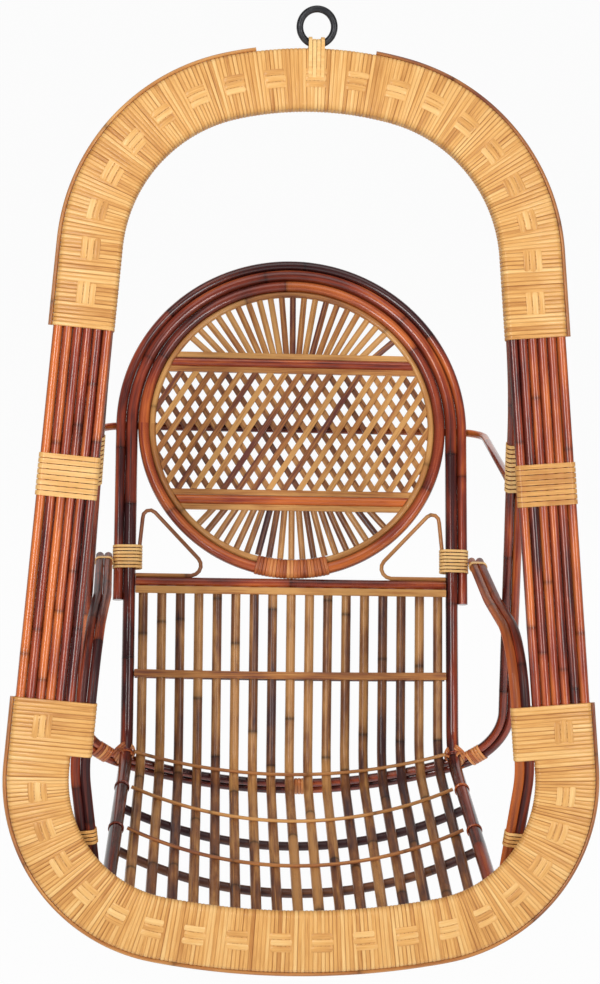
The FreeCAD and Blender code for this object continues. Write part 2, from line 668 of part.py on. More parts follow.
def lattice(side, front):
    """Slanted strips between the two bars, cut off by the liner; side turns the slant over."""
    arcs = []
    for hand in (1, -1):
        low, top = (LATTICE_FOOT, LATTICE_TOP) if hand > 0 else (LATTICE_TOP, LATTICE_FOOT)
        ends = [on_panel(hand * chord(v, INSIDE_R), v, front) for v in (low, top)]
        arcs.append((ends[0], on_panel(hand * INSIDE_R, 0, front), ends[1]))
    outline = [Part.Arc(*arcs[0]).toShape(), Part.LineSegment(arcs[0][2], arcs[1][0]).toShape(),
               Part.Arc(*arcs[1]).toShape(), Part.LineSegment(arcs[1][2], arcs[0][0]).toShape()]
    window = Part.Face(Part.Wire(outline))
    shift = (LATTICE_TOP - LATTICE_FOOT) / math.tan(math.radians(LATTICE_LEAN))
    half = LATTICE_STRIP / 2 / math.sin(math.radians(LATTICE_LEAN))
    count = int((INSIDE_R + shift / 2) / LATTICE_STEP)
    solids = []
    for i in range(-count, count + 1):
        low = i * LATTICE_STEP - side * shift / 2
        top = i * LATTICE_STEP + side * shift / 2
        corners = [(low - half, LATTICE_FOOT), (low + half, LATTICE_FOOT),
                   (top + half, LATTICE_TOP), (top - half, LATTICE_TOP)]
        points = [on_panel(x, v, front) for x, v in corners]
        cut = Part.Face(Part.makePolygon(points + points[:1])).common(window)
        kept = [face for face in cut.Faces if face.Area > LATTICE_STRIP ** 2]
        solids += [face.extrude(BEHIND * LATTICE_THICK) for face in kept]
    return Part.makeCompound(solids)


# Posts and corner loops
TOP_RAIL_S = PANEL_S - PANEL_R - (PANEL_CANE + TOP_RAIL) / 2 - WRAP_FIT - WRAP - CLEAR
LOOP_X = leg_x(LOOP_FOOT, ARCH_R) - (RAIL_CANE + LOOP_CANE) / 2 - CLEAR
LOOP_LOW = TOP_RAIL_S + (TOP_RAIL + LOOP_CANE) / 2 + CLEAR
LOOP_ALONG = (math.cos(math.radians(LOOP_LEAN)), math.sin(math.radians(LOOP_LEAN)))
LOOP_RING_R = PANEL_R + (PANEL_CANE + LOOP_CANE) / 2 + LOOP_OFF_RING
LOOP_NEAR = (LOOP_RING_R * LOOP_ALONG[1], PANEL_S - LOOP_RING_R * LOOP_ALONG[0])


def across_back(up, width):
    """Half the room between the rails for a piece of this width that crosses at a height."""
    return min(leg_x(up + edge, ARCH_R) for edge in (-width / 2, width / 2)) - RAIL_CANE / 2 - CLEAR


def beside_post(up):
    """Where the loop's peak may stand at a height up the back."""
    return leg_x(up, ARCH_R) - (RAIL_CANE + LOOP_CANE) / 2 - LOOP_OFF_POST


# The peak lies where the run beside the ring meets the line beside the post, the tip on the top rail
LEG_SLOPE = math.tan(math.radians(LEG_LEAN))
LOOP_CLIMB = (beside_post(LOOP_NEAR[1]) - LOOP_NEAR[0]) / (LOOP_ALONG[0] - LOOP_ALONG[1] * LEG_SLOPE)
LOOP_PEAK = LOOP_NEAR[1] + LOOP_CLIMB * LOOP_ALONG[1]
LOOP_PEAK_X = LOOP_NEAR[0] + LOOP_CLIMB * LOOP_ALONG[0]
LOOP_TIP_X = LOOP_NEAR[0] - (LOOP_NEAR[1] - LOOP_LOW) / math.tan(math.radians(LOOP_LEAN))


def corner_loop():
    """Thin cane out of the post's winding, round by the panel and back to the post along the top rail."""
    points = [on_back(LOOP_X, LOOP_FOOT), on_back(LOOP_PEAK_X, LOOP_PEAK),
              on_back(LOOP_TIP_X, LOOP_LOW), on_back(across_back(LOOP_LOW, LOOP_CANE), LOOP_LOW)]
    return tube(rounded(points, [LOOP_PEAK_R, LOOP_TIP_R]), LOOP_CANE)


def post_wrap():
    height = POST_TURNS * TIE_PITCH
    slip = (LOOP_X - LOOP_PEAK_X) * (POST_WRAP_S + height - LOOP_FOOT) / (LOOP_PEAK - LOOP_FOOT)
    inner = LOOP_X - slip - LOOP_CANE / 2 - height * LEG_SLOPE
    outer = leg_x(POST_WRAP_S, OUTER_ARCH_R) + ARCH_CANE / 2
    half = (outer - inner - RAIL_CANE) / 2
    turns = winding("post wrap", half, RAIL_CANE / 2, POST_TURNS, TIE_PITCH, TIE_STRIP, TIE_JOG_R)
    return set_along(turns, on_back((inner + outer) / 2, POST_WRAP_S), LEG_UP, X_AXIS)


# Slats: the scoop of the seat and what crosses it
SLAT_TOP_S = TOP_RAIL_S - TOP_RAIL / 2 - CLEAR - SLAT_HALF * abs(LEG_SLOPE)
SLAT_DROP = (RAIL_CANE - SLAT) / 2
TOP_STRIP_S = SLAT_TOP_S - STRIP_WIDTH / 2 - CLEAR
TOP_SPREAD = leg_x(SLAT_TOP_S, ARCH_R) - RAIL_X
CORNER_OUT = Vec(0, OUT_OF_CORNER.y, OUT_OF_CORNER.z).normalize()
FRONT_R = (RAIL_FRONT_X ** 2 + SEAT_SAG ** 2) / (2 * SEAT_SAG)


def slat_points(x):
    """Front, corner and top of the slat at x; the slats sag into a scoop and spread as the rails do."""
    scoop = math.sqrt(FRONT_R ** 2 - x ** 2) - math.sqrt(FRONT_R ** 2 - RAIL_FRONT_X ** 2)
    front = Vec(x, FRONT_BACK, RAIL_FRONT.z - SLAT_DROP - scoop)
    bend = BEND + X_AXIS * x + CORNER_OUT * SLAT_DROP + REAR_DOWN * sag_at(x, REAR_SILL_R)
    return front, bend, on_back(x + TOP_SPREAD * x / RAIL_X, SLAT_TOP_S)


def slats():
    places = [(i - (SLATS - 1) / 2) * SLAT_STEP for i in range(SLATS)]
    return Part.makeCompound([tube(rounded(slat_points(x), [BEND_R]), SLAT) for x in places])


def on_seat(x, back, above):
    """A point over the slat at x, so far behind the hoop and above the slat's centre line."""
    front, bend, top = slat_points(x)
    along = (bend - front).normalize()
    return front + along * ((back - front.y) / along.y) + X_AXIS.cross(along) * above


def in_corner(x, inward):
    """A point over the middle of the slat's bend at x."""
    points = slat_points(x)
    middle = corner(points[0], points[1], points[2], BEND_R)[1]
    return middle + (middle - points[1]).normalize() * inward


def over_back(x, up, behind):
    """A point behind or before the slat at x, at a height up the back."""
    front, bend, top = slat_points(x)
    share = (SLAT_TOP_S - up) / (SLAT_TOP_S - (bend - BEND).dot(UP_BACK))
    return on_back(top.x + (x - top.x) * share, up, (bend - BEND).dot(BEHIND) * share + behind)


def cross_arc(place, half, *where):
    """An arc across the seat or back through its two ends and its middle."""
    return [Part.Arc(place(-half, *where), place(0, *where), place(half, *where)).toShape()]


IN_RAILS = RAIL_X - RAIL_CANE / 2 - CLEAR
SLAT_TOUCH = SLAT / 2 + REST


def seat_bindings():
    above = SLAT_TOUCH + PLAY + BINDING / 2
    half = IN_RAILS - BINDING / 2
    routes = [cross_arc(in_corner, half, above)]
    routes += [cross_arc(on_seat, half, back, above) for back in BINDING_BACKS]
    return Part.makeCompound([tube(route, BINDING) for route in routes])


def under_canes():
    below = -(SLAT_TOUCH + UNDER_PLAY + CROSS_CANE / 2)
    reach = RAIL_X + RAIL_CANE / 2
    routes = [cross_arc(on_seat, reach, back, below) for back in UNDER_BACKS]
    return Part.makeCompound([tube(route, CROSS_CANE) for route in routes])


def mid_strip():
    route = cross_arc(over_back, IN_RAILS, MID_STRIP_S, -(SLAT_TOUCH + PLAY + STRIP_THICK / 2))
    return strip(route, STRIP_WIDTH, STRIP_THICK, UP_BACK)


def mid_cane():
    route = cross_arc(over_back, IN_RAILS, MID_STRIP_S, SLAT_TOUCH + CROSS_CANE / 2)
    return tube(route, CROSS_CANE)


def top_rail():
    half = across_back(TOP_RAIL_S, TOP_RAIL)
    return tube([Part.LineSegment(on_back(-half, TOP_RAIL_S), on_back(half, TOP_RAIL_S)).toShape()], TOP_RAIL)


def top_strip():
    half = across_back(TOP_STRIP_S, STRIP_WIDTH)
    low = TOP_STRIP_S - PANEL_S - STRIP_WIDTH / 2
    top = low + STRIP_WIDTH
    front = -SLAT / 2 - CLEAR - STRIP_THICK
    return slab([(-half, low), (half, low), (half, top), (-half, top)], front, STRIP_THICK)


# Arms, from the posts to the hoop and down behind the sill
ARM_REST_X = leg_x(ARM_REST_S, OUTER_ARCH_R) + ARCH_CANE / 2 + WRAP_FIT + WRAP + CLEAR + ARM_CANE / 2
LEG_END_X = RAIL_FRONT_X + (RAIL_CANE + ARM_CANE) / 2 + CLEAR


def arm_ends(outward):
    """Where the inner (0) or outer (1) cane of the right arm rests on the post, and its crook."""
    rest = on_back(ARM_REST_X + outward * ARM_STEP, ARM_REST_S)
    return rest, side_point(ARM_CROOK, ARM_INSETS[1 - outward])


# Seen from the side, the arm crosses the rear hoop's leg at its waist, and bows inwards there to pass it
OUTER_REST, OUTER_CROOK = arm_ends(1)
CROSSING = X_AXIS.cross(OUTER_REST - OUTER_CROOK)
PASSED = KICK_POINT + LEG_DOWN * ((OUTER_CROOK - KICK_POINT).dot(CROSSING) / LEG_DOWN.dot(CROSSING))
ARM_WAIST_SHARE = (PASSED.y - OUTER_CROOK.y) / (OUTER_REST.y - OUTER_CROOK.y)
ARM_ROOM = PASSED.x - (REAR_CANE + ARM_CANE) / 2 - ARM_PASS
ARM_BOW = max(OUTER_CROOK.x + (OUTER_REST.x - OUTER_CROOK.x) * ARM_WAIST_SHARE - ARM_ROOM, CLEAR)


def arm_points(outward):
    """Tail, waist, crook, knee and foot of the inner (0) or outer (1) cane of the right arm."""
    inset = ARM_INSETS[1 - outward]
    rest, crook = arm_ends(outward)
    waist = crook + (rest - crook) * ARM_WAIST_SHARE - X_AXIS * ARM_BOW
    tail = rest + (rest - waist).normalize() * ARM_TAIL
    knee = side_point(CORNER_WRAP_END + ARM_KNEE_DROP, inset)
    foot = Vec(LEG_END_X + outward * ARM_STEP, LEG_END_BACK, SILL_Z + LEG_END_RISE)
    return tail, waist, crook, knee, foot


def arm(outward):
    return tube(rounded(arm_points(outward), [ARM_WAIST_R, ARM_CROOK_R, ARM_KNEE_R]), ARM_CANE)


def between_arms(index, other, travel):
    """Midway between the two arm canes, so far from one of their points towards another."""
    pairs = [arm_points(outward) for outward in (0, 1)]
    start = (pairs[0][index] + pairs[1][index]) * MIDWAY_SHARE
    along = (pairs[0][other] + pairs[1][other]) * MIDWAY_SHARE - start
    return start + along.normalize() * travel, along.normalize()


def leg_lashing():
    at, down = between_arms(3, 4, LEG_LASH_DROP)
    turns = winding("leg lashing", ARM_STEP / 2, ARM_CANE / 2, LEG_TURNS, TIE_PITCH, TIE_STRIP, TIE_JOG_R)
    return set_along(turns, at, down * -1, X_AXIS)


def arm_strap():
    at, ahead = between_arms(0, 1, ARM_TAIL + STRAP_AHEAD)
    turns = winding("arm strap", ARM_STEP / 2, ARM_CANE / 2, STRAP_TURNS, TIE_PITCH, TIE_STRIP, TIE_JOG_R)
    return set_along(turns, at, ahead * -1, X_AXIS)


def back_brace():
    """Cane behind the back that reaches forward on both sides to the rear hoop's legs."""
    beside = OUTER_ARCH_R + (ARCH_CANE + BRACE_CANE) / 2 + BRACE_OFF
    elbow = on_back(beside, PANEL_S, (RAIL_CANE + BRACE_CANE) / 2 + CLEAR)
    down = (KICK_POINT.z - (CROWN_Z - BRACE_LEVEL)) / -LEG_DOWN.z
    leg = rear_leg_point(down)
    slant = (elbow - leg).getAngle(REAR_NORMAL)
    end = leg + REAR_NORMAL * (REAR_CANE / 2 + CLEAR + BRACE_CANE / 2 * math.sin(slant))
    points = [end, elbow, mirror_point(elbow), mirror_point(end)]
    return tube(rounded(points, [BRACE_BEND_R, BRACE_BEND_R]), BRACE_CANE)


def pair(name, shape):
    return {name + "_right": shape, name + "_left": mirrored(shape)}


chair = {"hoop_cane_%d" % n: hoop_cane(inset) for n, inset in enumerate(HOOP_INSETS, 1)}
chair.update({"rear_hoop_cane_%d" % n: rear_cane(inset) for n, inset in enumerate(REAR_INSETS, 1)})
chair["ring_lashing"] = ring_lashing()
chair["arch_wrap"] = arch_wrap()
chair["sill_wrap"] = sill_wrap()
chair.update(pair("corner_wrap", corner_wrap()))
chair.update(pair("upper_rim", upper_rim()))
chair["lower_rim"] = tube(under_sill(CORNER_WRAP_TOP, RIM_INSET).edges, RIM_CANE)
chair.update(pair("side_band", side_band()))
chair.update(pair("rear_band", rear_band()))
chair["back_frame"] = back_frame()
chair["back_arch"] = outer_arch()
chair["panel_ring"] = panel_ring(PANEL_R, PANEL_CANE)
chair["panel_liner"] = panel_ring(LINER_R, PANEL_LINER)
chair["panel_tie"] = panel_tie()
chair["upper_bar"] = bar(UPPER_BAR_V)
chair["lower_bar"] = bar(-LOWER_BAR_V)
chair["bar_strips"] = Part.makeCompound([bar_strip(v) for v in UPPER_STRIPS + LOWER_STRIPS])
chair["upper_rays"] = rays(UPPER_RAYS, UPPER_STRIPS[0] + BAR_STRIP / 2 + CLEAR, 1)
chair["lower_rays"] = rays(LOWER_RAYS, BAR_STRIP / 2 + CLEAR - LOWER_STRIPS[1], -1)
chair["lattice_front"] = lattice(1, -LATTICE_THICK - CLEAR / 2)
chair["lattice_rear"] = lattice(-1, CLEAR / 2)
chair.update(pair("corner_loop", corner_loop()))
chair.update(pair("post_wrap", post_wrap()))
chair["back_top_rail"] = top_rail()
chair["back_top_strip"] = top_strip()
chair["back_mid_strip"] = mid_strip()
chair["back_mid_cane"] = mid_cane()
chair["slats"] = slats()
chair["seat_bindings"] = seat_bindings()
chair["under_canes"] = under_canes()
chair.update(pair("arm_inner", arm(0)))
chair.update(pair("arm_outer", arm(1)))
chair.update(pair("arm_strap", arm_strap()))
chair.update(pair("leg_lashing", leg_lashing()))
chair["back_brace"] = back_brace()

# The chair swings about the bar of the ring and hangs with its centre of mass under it
HINGE = Vec(0, 0, -RING_R)
solids = [solid for shape in chair.values() for solid in shape.Solids]
volume = sum(solid.Volume for solid in solids)
moment = Vec(0, 0, 0)
for solid in solids:
    moment += (solid.CenterOfMass - HINGE) * solid.Volume
LEAN = math.degrees(math.atan2(moment.y, -moment.z))
print("chair of %.1f litres leans %.2f degrees" % (volume / LITRE, LEAN))

os.makedirs("parts", exist_ok=True)
Part.makeTorus(RING_R, RING_BAR / 2, Vec(0, 0, 0), Y_AXIS).exportStep("parts/hang_ring.step")
for name, shape in chair.items():
    shape.rotate(HINGE, X_AXIS, -LEAN)
    shape.exportStep("parts/%s.step" % name)
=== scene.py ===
"""Cane swing chair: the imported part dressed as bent, lacquered and wrapped cane, with its studio."""
import math

import bpy
import numpy as np
from bpy.props import FloatProperty, FloatVectorProperty, PointerProperty
from mathutils import Matrix, Vector


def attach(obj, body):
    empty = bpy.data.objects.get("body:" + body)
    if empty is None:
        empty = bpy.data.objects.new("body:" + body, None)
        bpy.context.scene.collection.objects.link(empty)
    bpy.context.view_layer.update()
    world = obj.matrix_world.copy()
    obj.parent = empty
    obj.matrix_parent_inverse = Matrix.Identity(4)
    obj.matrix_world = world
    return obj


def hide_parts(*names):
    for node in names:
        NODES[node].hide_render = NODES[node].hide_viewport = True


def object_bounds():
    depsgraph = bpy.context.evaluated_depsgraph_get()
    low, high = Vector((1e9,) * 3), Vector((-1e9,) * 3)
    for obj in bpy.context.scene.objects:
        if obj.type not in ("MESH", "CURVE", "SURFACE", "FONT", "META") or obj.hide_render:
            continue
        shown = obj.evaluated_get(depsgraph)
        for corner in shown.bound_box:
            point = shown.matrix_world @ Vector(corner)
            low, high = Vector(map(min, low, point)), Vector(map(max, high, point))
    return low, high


bl_info = {
    "name": "Cane swing chair",
    "version": (1, 0, 0),
    "blender": (4, 5, 0),
    "location": "3D View > Sidebar > Swing chair",
    "description": "Dresses the frame of a hanging cane chair: canes, wraps, windings, slats and studio",
    "category": "Object",
}

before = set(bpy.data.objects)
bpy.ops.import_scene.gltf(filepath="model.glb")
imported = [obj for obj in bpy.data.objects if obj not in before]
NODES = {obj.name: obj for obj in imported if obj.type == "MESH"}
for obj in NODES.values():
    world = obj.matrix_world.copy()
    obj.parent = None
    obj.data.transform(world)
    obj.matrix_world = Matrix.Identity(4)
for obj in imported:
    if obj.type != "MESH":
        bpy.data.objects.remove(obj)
CAD_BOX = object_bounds()
CHAIR = "chair"
RING = "ring"
HOOP_CANES = sum(name.startswith("hoop_cane_") for name in NODES)
SAME_PLACE = 3e-4          # points of one ring of a cane agree to this, in metres
STRAIGHT_RUN = 0.06        # rings further apart than this, in metres, lie on a straight run
NEARLY_STRAIGHT = 1e-4     # a line that strays less than this from straight counts as straight, in metres
LEAST_BEND = 0.02          # least difference of the normals at both ends of an edge round a cane
PARALLEL_SHARE = 0.9999    # how nearly that difference runs along the edge
LOW_PERCENT = 10           # edges along a bend give a larger radius than those round the cane
LEAST_RING = 3             # points in a ring
CELL_SHIFT_SHARE = 0.37    # keeps the centres of canes off the edges of the cells that gather them
WELD_DIGITS = 6
WHOLE_SHARE = 0.8          # a wrap that seems to cover more of a cane than this lies across its ends
POINTS_AT_ONCE = 500
LOOK_AHEAD = 3             # points to both sides of a place that give a line's heading there
FULL_TURN = 2 * math.pi
SHARP_TURN = math.radians(50)
FACING = np.array([0.0, -1.0, 0.1])  # stands for the normal of a straight line's plane
WHITE = (1.0, 1.0, 1.0)

# Steps along canes, in metres, and points round them
CANE_STEP = 0.008
RING_STEP = 0.003
BAND_STEP = 0.002
LASH_STEP = 0.004
BINDING_STEP = 0.01
CANE_SIDES = 14
RING_SIDES = 24
RIM_SIDES = 8
RIBBON_SIDES = 10
LOOP_POINTS = 49
OUTLINE_POINTS = 28
OUTLINE_SHIFT = 0.01       # radians, so that no point of a wrap's outline lies between two canes
TURN_SHARES = np.array([0, 0.08, 0.25, 0.5, 0.75, 0.92])

# How far the edges of flat strips are eased, in metres
BAR_EASE = 0.0004
WINDING_EASE = 0.0005
RAY_EASE = 0.0013
FLAT_EASE = 0.0016
LATTICE_EASE = 0.0019
EASE_SEGMENTS = 3

# Woven blocks, lashings and ties: counts, shares and sizes in metres
BLOCK_POINTS = 13
BLOCK_STRAY = 0.002        # how far a strip strays along its block
BLOCK_SPREAD_SHARE = 1.1   # from strip to strip, in widths of a strip
BLOCK_DIP = 0.0016         # how far the ends of a strip lie under the turns
BLOCK_LIFT = 0.0012        # what its middle rises besides the block's own rise
BLOCK_FULLNESS = 0.35      # power of the half sine that a strip rises by
BLOCK_HALF_THICK = 0.0009
LASH_TURNS = 5
LASH_PITCH = 0.0055
LASH_STRIP = 0.005
LASH_THICK = 0.0016
LASH_ROOM = 0.002          # past the far sides of two crossed canes
LASH_SEAT = 0.0012         # past the far sides of two canes side by side
LASH_BULGE = 0.0025        # and past their flanks
LASH_ASIDE = 0.032         # from a crossing to the plain lashing beside it
CROSSING_WIDTH_SHARE = 1.25
TIE_SEAT = 0.001
TIE_STRIP = 0.0026
TIE_THICK = 0.0018
TIE_OFFSETS = (-0.0016, 0.0016)

# Chance: how far the pattern of a strand is shifted along it, and how pale strands are
CANE_SHIFT = 20
RIBBON_SHIFT = 9
STRIP_POWER = 0.5
RIBBON_TONES = (0.2, 0.9)
TURN_TONES = (0.2, 0.8)

# Studio, in metres: place of each light from the middle of the chair, its width and height, and whether
# the lacquer mirrors it; then the floor, from the frame's own origin
LIGHTS = (
    ("key", (-1.3, -2.7, 1.1), (0.7, 2.2), True),
    ("fill", (1.6, -2.5, 0.7), (0.55, 2.2), True),
    ("top", (0.0, -0.6, 2.6), (2.0, 2.0), True),
    ("back", (0.7, 3.0, 0.9), (1.8, 1.8), False),
)
SWEEP_RADIUS = 3.0
SWEEP_START = 9.0
SWEEP_POINTS = 24
FLOOR_REACH = 14.0
FLOOR_WHITE_SHARE = 0.96
SENSOR_WIDTH = 36.0


# Reading the frame

def node_arrays(name):
    """Points, outward normals, edges and triangles of a CAD node, as arrays."""
    mesh = NODES[name].data
    points = np.empty(len(mesh.vertices) * 3, np.float32)
    mesh.vertices.foreach_get("co", points)
    corners = np.empty(len(mesh.loops), np.int32)
    mesh.loops.foreach_get("vertex_index", corners)
    facing = np.empty(len(mesh.loops) * 3, np.float32)
    mesh.corner_normals.foreach_get("vector", facing)
    normals = np.zeros((len(mesh.vertices), 3))
    normals[corners] = facing.reshape(-1, 3)
    edges = np.empty(len(mesh.edges) * 2, np.int32)
    mesh.edges.foreach_get("vertices", edges)
    return points.reshape(-1, 3).astype(float), normals, edges.reshape(-1, 2), corners.reshape(-1, 3)


def cane_lines(name, step):
    """Centre lines of the round canes in a CAD node, each with its distances along, and their radius.

    Two points of one ring lie apart as their normals do, times the radius, which gives the radius.
    The centre of a ring lies one radius inwards from each of its points, the cane heads square to
    all normals of the ring, and rings that share an edge follow each other along the cane.
    """
    points, normals, edges, _ = node_arrays(name)
    gap = points[edges[:, 1]] - points[edges[:, 0]]
    turn = normals[edges[:, 1]] - normals[edges[:, 0]]
    far = np.linalg.norm(gap, axis=1)
    bend = np.linalg.norm(turn, axis=1)
    along_edge = np.abs((gap * turn).sum(1))
    round_edge = (bend > LEAST_BEND) & (along_edge > PARALLEL_SHARE * far * bend)
    radius = np.percentile(far[round_edge] / bend[round_edge], LOW_PERCENT)
    cell = np.round((points - normals * radius) / SAME_PLACE + CELL_SHIFT_SHARE)
    cells, ring_of, size = np.unique(cell, axis=0, return_inverse=True, return_counts=True)
    ring_of = ring_of.ravel()
    centres = np.zeros((len(cells), 3))
    np.add.at(centres, ring_of, points - normals * radius)
    centres /= size[:, None]
    spread = np.zeros((len(cells), 3, 3))
    np.add.at(spread, ring_of, normals[:, :, None] * normals[:, None])
    headings = np.linalg.eigh(spread)[1][:, :, 0]
    whole = np.flatnonzero(size >= LEAST_RING)
    apart = np.linalg.norm(centres[whole][:, None] - centres[whole][None], axis=2)
    same = np.full(len(cells), -1)
    same[whole] = whole[np.argmax(apart < 2 * SAME_PLACE, axis=1)]
    while (same[same[whole]] != same[whole]).any():
        same[whole] = same[same[whole]]
    links = np.sort(same[ring_of[edges]], axis=1)
    links = np.unique(links[(links[:, 0] >= 0) & (links[:, 0] != links[:, 1])], axis=0)
    return [smooth_line(centres[chain], headings[chain], step) for chain in walk(links)], radius


def smooth_line(centres, headings, step):
    """Points about a step apart on the smooth line through rings, and their distances along it.

    Between rings a and b the line is (2t^3 - 3t^2 + 1) a + (t^3 - 2t^2 + t) m a' + (3t^2 - 2t^3) b +
    (t^3 - t^2) m b', with a' and b' the headings, m the distance and t from 0 to 1.
    """
    chords = np.diff(centres, axis=0)
    far = np.linalg.norm(chords, axis=1)
    ahead = np.concatenate([chords[:1], chords[:-1] + chords[1:], chords[-1:]])
    headings = headings * np.sign((headings * ahead).sum(1))[:, None]
    straight = np.flatnonzero(far > STRAIGHT_RUN)
    headings[straight] = headings[straight + 1] = unit(chords[straight])
    along = np.concatenate([[0], np.cumsum(far)])
    at = np.linspace(0, along[-1], max(int(round(along[-1] / step)), 2) + 1)
    i = np.clip(np.searchsorted(along, at, side="right") - 1, 0, len(far) - 1)
    t = ((at - along[i]) / far[i])[:, None]
    m = far[i][:, None]
    line = (2 * t ** 3 - 3 * t ** 2 + 1) * centres[i] + (t ** 3 - 2 * t ** 2 + t) * m * headings[i]
    line += (3 * t ** 2 - 2 * t ** 3) * centres[i + 1] + (t ** 3 - t ** 2) * m * headings[i + 1]
    return line, at


def walk(links):
    """Chains of numbers from the pairs that link them; a closed chain ends where it began."""
    beside = {}
    for a, b in links.tolist():
        beside.setdefault(a, []).append(b)
        beside.setdefault(b, []).append(a)
    ends = [a for a in sorted(beside) if len(beside[a]) == 1]
    seen = set()
    chains = []
    for start in ends + sorted(beside):
        if start in seen:
            continue
        chain = [start]
        seen.add(start)
        while True:
            onward = [b for b in beside[chain[-1]] if b not in seen]
            if not onward:
                break
            chain.append(onward[0])
            seen.add(onward[0])
        if len(chain) > 2 and start in beside[chain[-1]]:
            chain.append(start)
        if len(chain) > 1:
            chains.append(chain)
    return chains


def named(*starts):
    """Names of the CAD nodes that start with one of some words."""
    return [name for name in sorted(NODES) if name.startswith(starts)]


def unit(vectors):
    return vectors / np.linalg.norm(vectors, axis=-1, keepdims=True)


def frames_along(line):
    """Heading, side and up of a line at each point; up keeps to the normal of the line's own plane."""
    heading = unit(np.gradient(line, axis=0))
    closed = np.allclose(line[0], line[-1])
    if closed:
        heading[[0, -1]] = unit(line[1] - line[-2])
    away = line - line.mean(0)
    spread = np.linalg.svd(away)[2]
    straight = np.linalg.norm(away - np.outer(away @ spread[0], spread[0])) < NEARLY_STRAIGHT
    flat = FACING if straight else spread[2]
    side = unit(np.cross(heading, flat))
    return heading, side, np.cross(side, heading)


# Making meshes

def grid_quads(rows, columns, first=0):
    """Corner numbers of the quads between rows of points, each row closed on itself."""
    r = np.arange(rows - 1)[:, None] * columns
    c = np.arange(columns)[None]
    d = (c + 1) % columns
    return np.stack([r + c, r + d, r + columns + d, r + columns + c], -1).reshape(-1, 4) + first


def cap_fan(first, columns, centre, outward_last):
    """Triangles from a row of points to a point at its centre."""
    c = first + np.arange(columns)
    d = first + (np.arange(columns) + 1) % columns
    pair = (c, d) if outward_last else (d, c)
    return np.stack([pair[0], pair[1], np.full(columns, centre)], -1)


class Skin:
    """Points, faces, pattern coordinates and tones of one piece, gathered strand by strand."""

    def __init__(self):
        self.points, self.quads, self.triangles, self.pattern, self.tones = [], [], [], [], []
        self.count = 0

    def strand(self, rows, u, v, tone, closed=False):
        """Add rows of points (row, column, xyz); u and v run round and along, tone is the shade."""
        height, width = rows.shape[:2]
        first = self.count
        self.points.append(rows.reshape(-1, 3))
        self.pattern.append(np.stack(np.broadcast_arrays(u, v), -1).reshape(-1, 2))
        self.tones.append(np.broadcast_to(tone, (height, width)).ravel())
        self.quads.append(grid_quads(height, width, first))
        self.count += height * width
        if not closed:
            ends = rows[[0, -1]].mean(1)
            self.points.append(ends)
            self.pattern.append(np.array([[0.5, np.min(v)], [0.5, np.max(v)]]))
            self.tones.append(np.broadcast_to(tone, (height, width))[[0, -1], 0])
            self.triangles.append(cap_fan(first, width, self.count, False))
            self.triangles.append(cap_fan(first + (height - 1) * width, width, self.count + 1, True))
            self.count += 2

    def piece(self, name, material, body, slot, *nodes):
        """Make the object, set it on its body and let it stand for its CAD nodes."""
        points = np.concatenate(self.points).astype(np.float32)
        corners = [np.concatenate(faces) for faces in (self.quads, self.triangles) if faces]
        loops = np.concatenate([c.ravel() for c in corners]).astype(np.int32)
        sizes = np.concatenate([np.full(len(c), c.shape[1]) for c in corners]).astype(np.int32)
        pattern = np.concatenate(self.pattern)
        tones = np.concatenate(self.tones)
        return make_piece(name, points, loops, sizes, pattern, tones, material, body, slot, *nodes)


def make_piece(name, points, loops, sizes, pattern, tones, material, body, slot, *nodes):
    """A mesh object from arrays, with a pattern map, a tone for each point and its material."""
    mesh = bpy.data.meshes.new(name)
    mesh.vertices.add(len(points))
    mesh.vertices.foreach_set("co", points.astype(np.float32).ravel())
    mesh.loops.add(len(loops))
    mesh.loops.foreach_set("vertex_index", loops)
    mesh.polygons.add(len(sizes))
    starts = np.concatenate([[0], np.cumsum(sizes)[:-1]])
    mesh.polygons.foreach_set("loop_start", starts.astype(np.int32))
    mesh.update(calc_edges=True)
    mesh.validate()
    layer = mesh.uv_layers.new(name="Pattern")
    corner = np.empty(len(mesh.loops), np.int32)
    mesh.loops.foreach_get("vertex_index", corner)
    layer.data.foreach_set("uv", pattern[corner].astype(np.float32).ravel())
    tone = mesh.attributes.new("tone", "FLOAT", "POINT")
    tone.data.foreach_set("value", tones.astype(np.float32))
    mesh.shade_smooth()
    mesh.set_sharp_from_angle(angle=SHARP_TURN)
    mesh.materials.append(material)
    piece = bpy.data.objects.new(name, mesh)
    bpy.context.scene.collection.objects.link(piece)
    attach(piece, body)
    if nodes:
        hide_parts(*nodes)
    return piece


def dice(*words):
    """A seeded source of chance for one piece."""
    return np.random.default_rng(sum(ord(letter) * (i + 1) for i, letter in enumerate("".join(words))))


def round_canes(name, material, slot, body=CHAIR, sides=CANE_SIDES, step=CANE_STEP, press=0.0):
    """Round canes along a node's own centre lines, a circle carried along a path.

    radius = the CAD radius, plus what it takes to touch the next cane, times 1 plus a bell of the
    swell's height at each knot.
    """
    looks = bpy.context.scene.swing_chair.cane
    lines, radius = cane_lines(name, step)
    chance = dice(name)
    skin = Skin()
    turn = np.arange(sides) * FULL_TURN / sides
    for line, along in lines:
        closed = np.allclose(line[0], line[-1])
        _, side, up = frames_along(line)
        v = along + chance.uniform(0, CANE_SHIFT)
        from_knot = (v / looks.knot_spacing) % 1 - 0.5
        bell = np.exp(-(from_knot * looks.knot_spacing / looks.knot_length) ** 2)
        thick = (radius + press) * (1 + looks.knot_swell * bell * (not closed))
        ring = side[:, None] * np.cos(turn)[None, :, None] + up[:, None] * np.sin(turn)[None, :, None]
        rows = line[:, None] + ring * thick[:, None, None]
        skin.strand(rows, turn[None] / FULL_TURN, v[:, None], chance.uniform(), closed)
    return skin.piece(name + "_cane", material, body, slot, name)


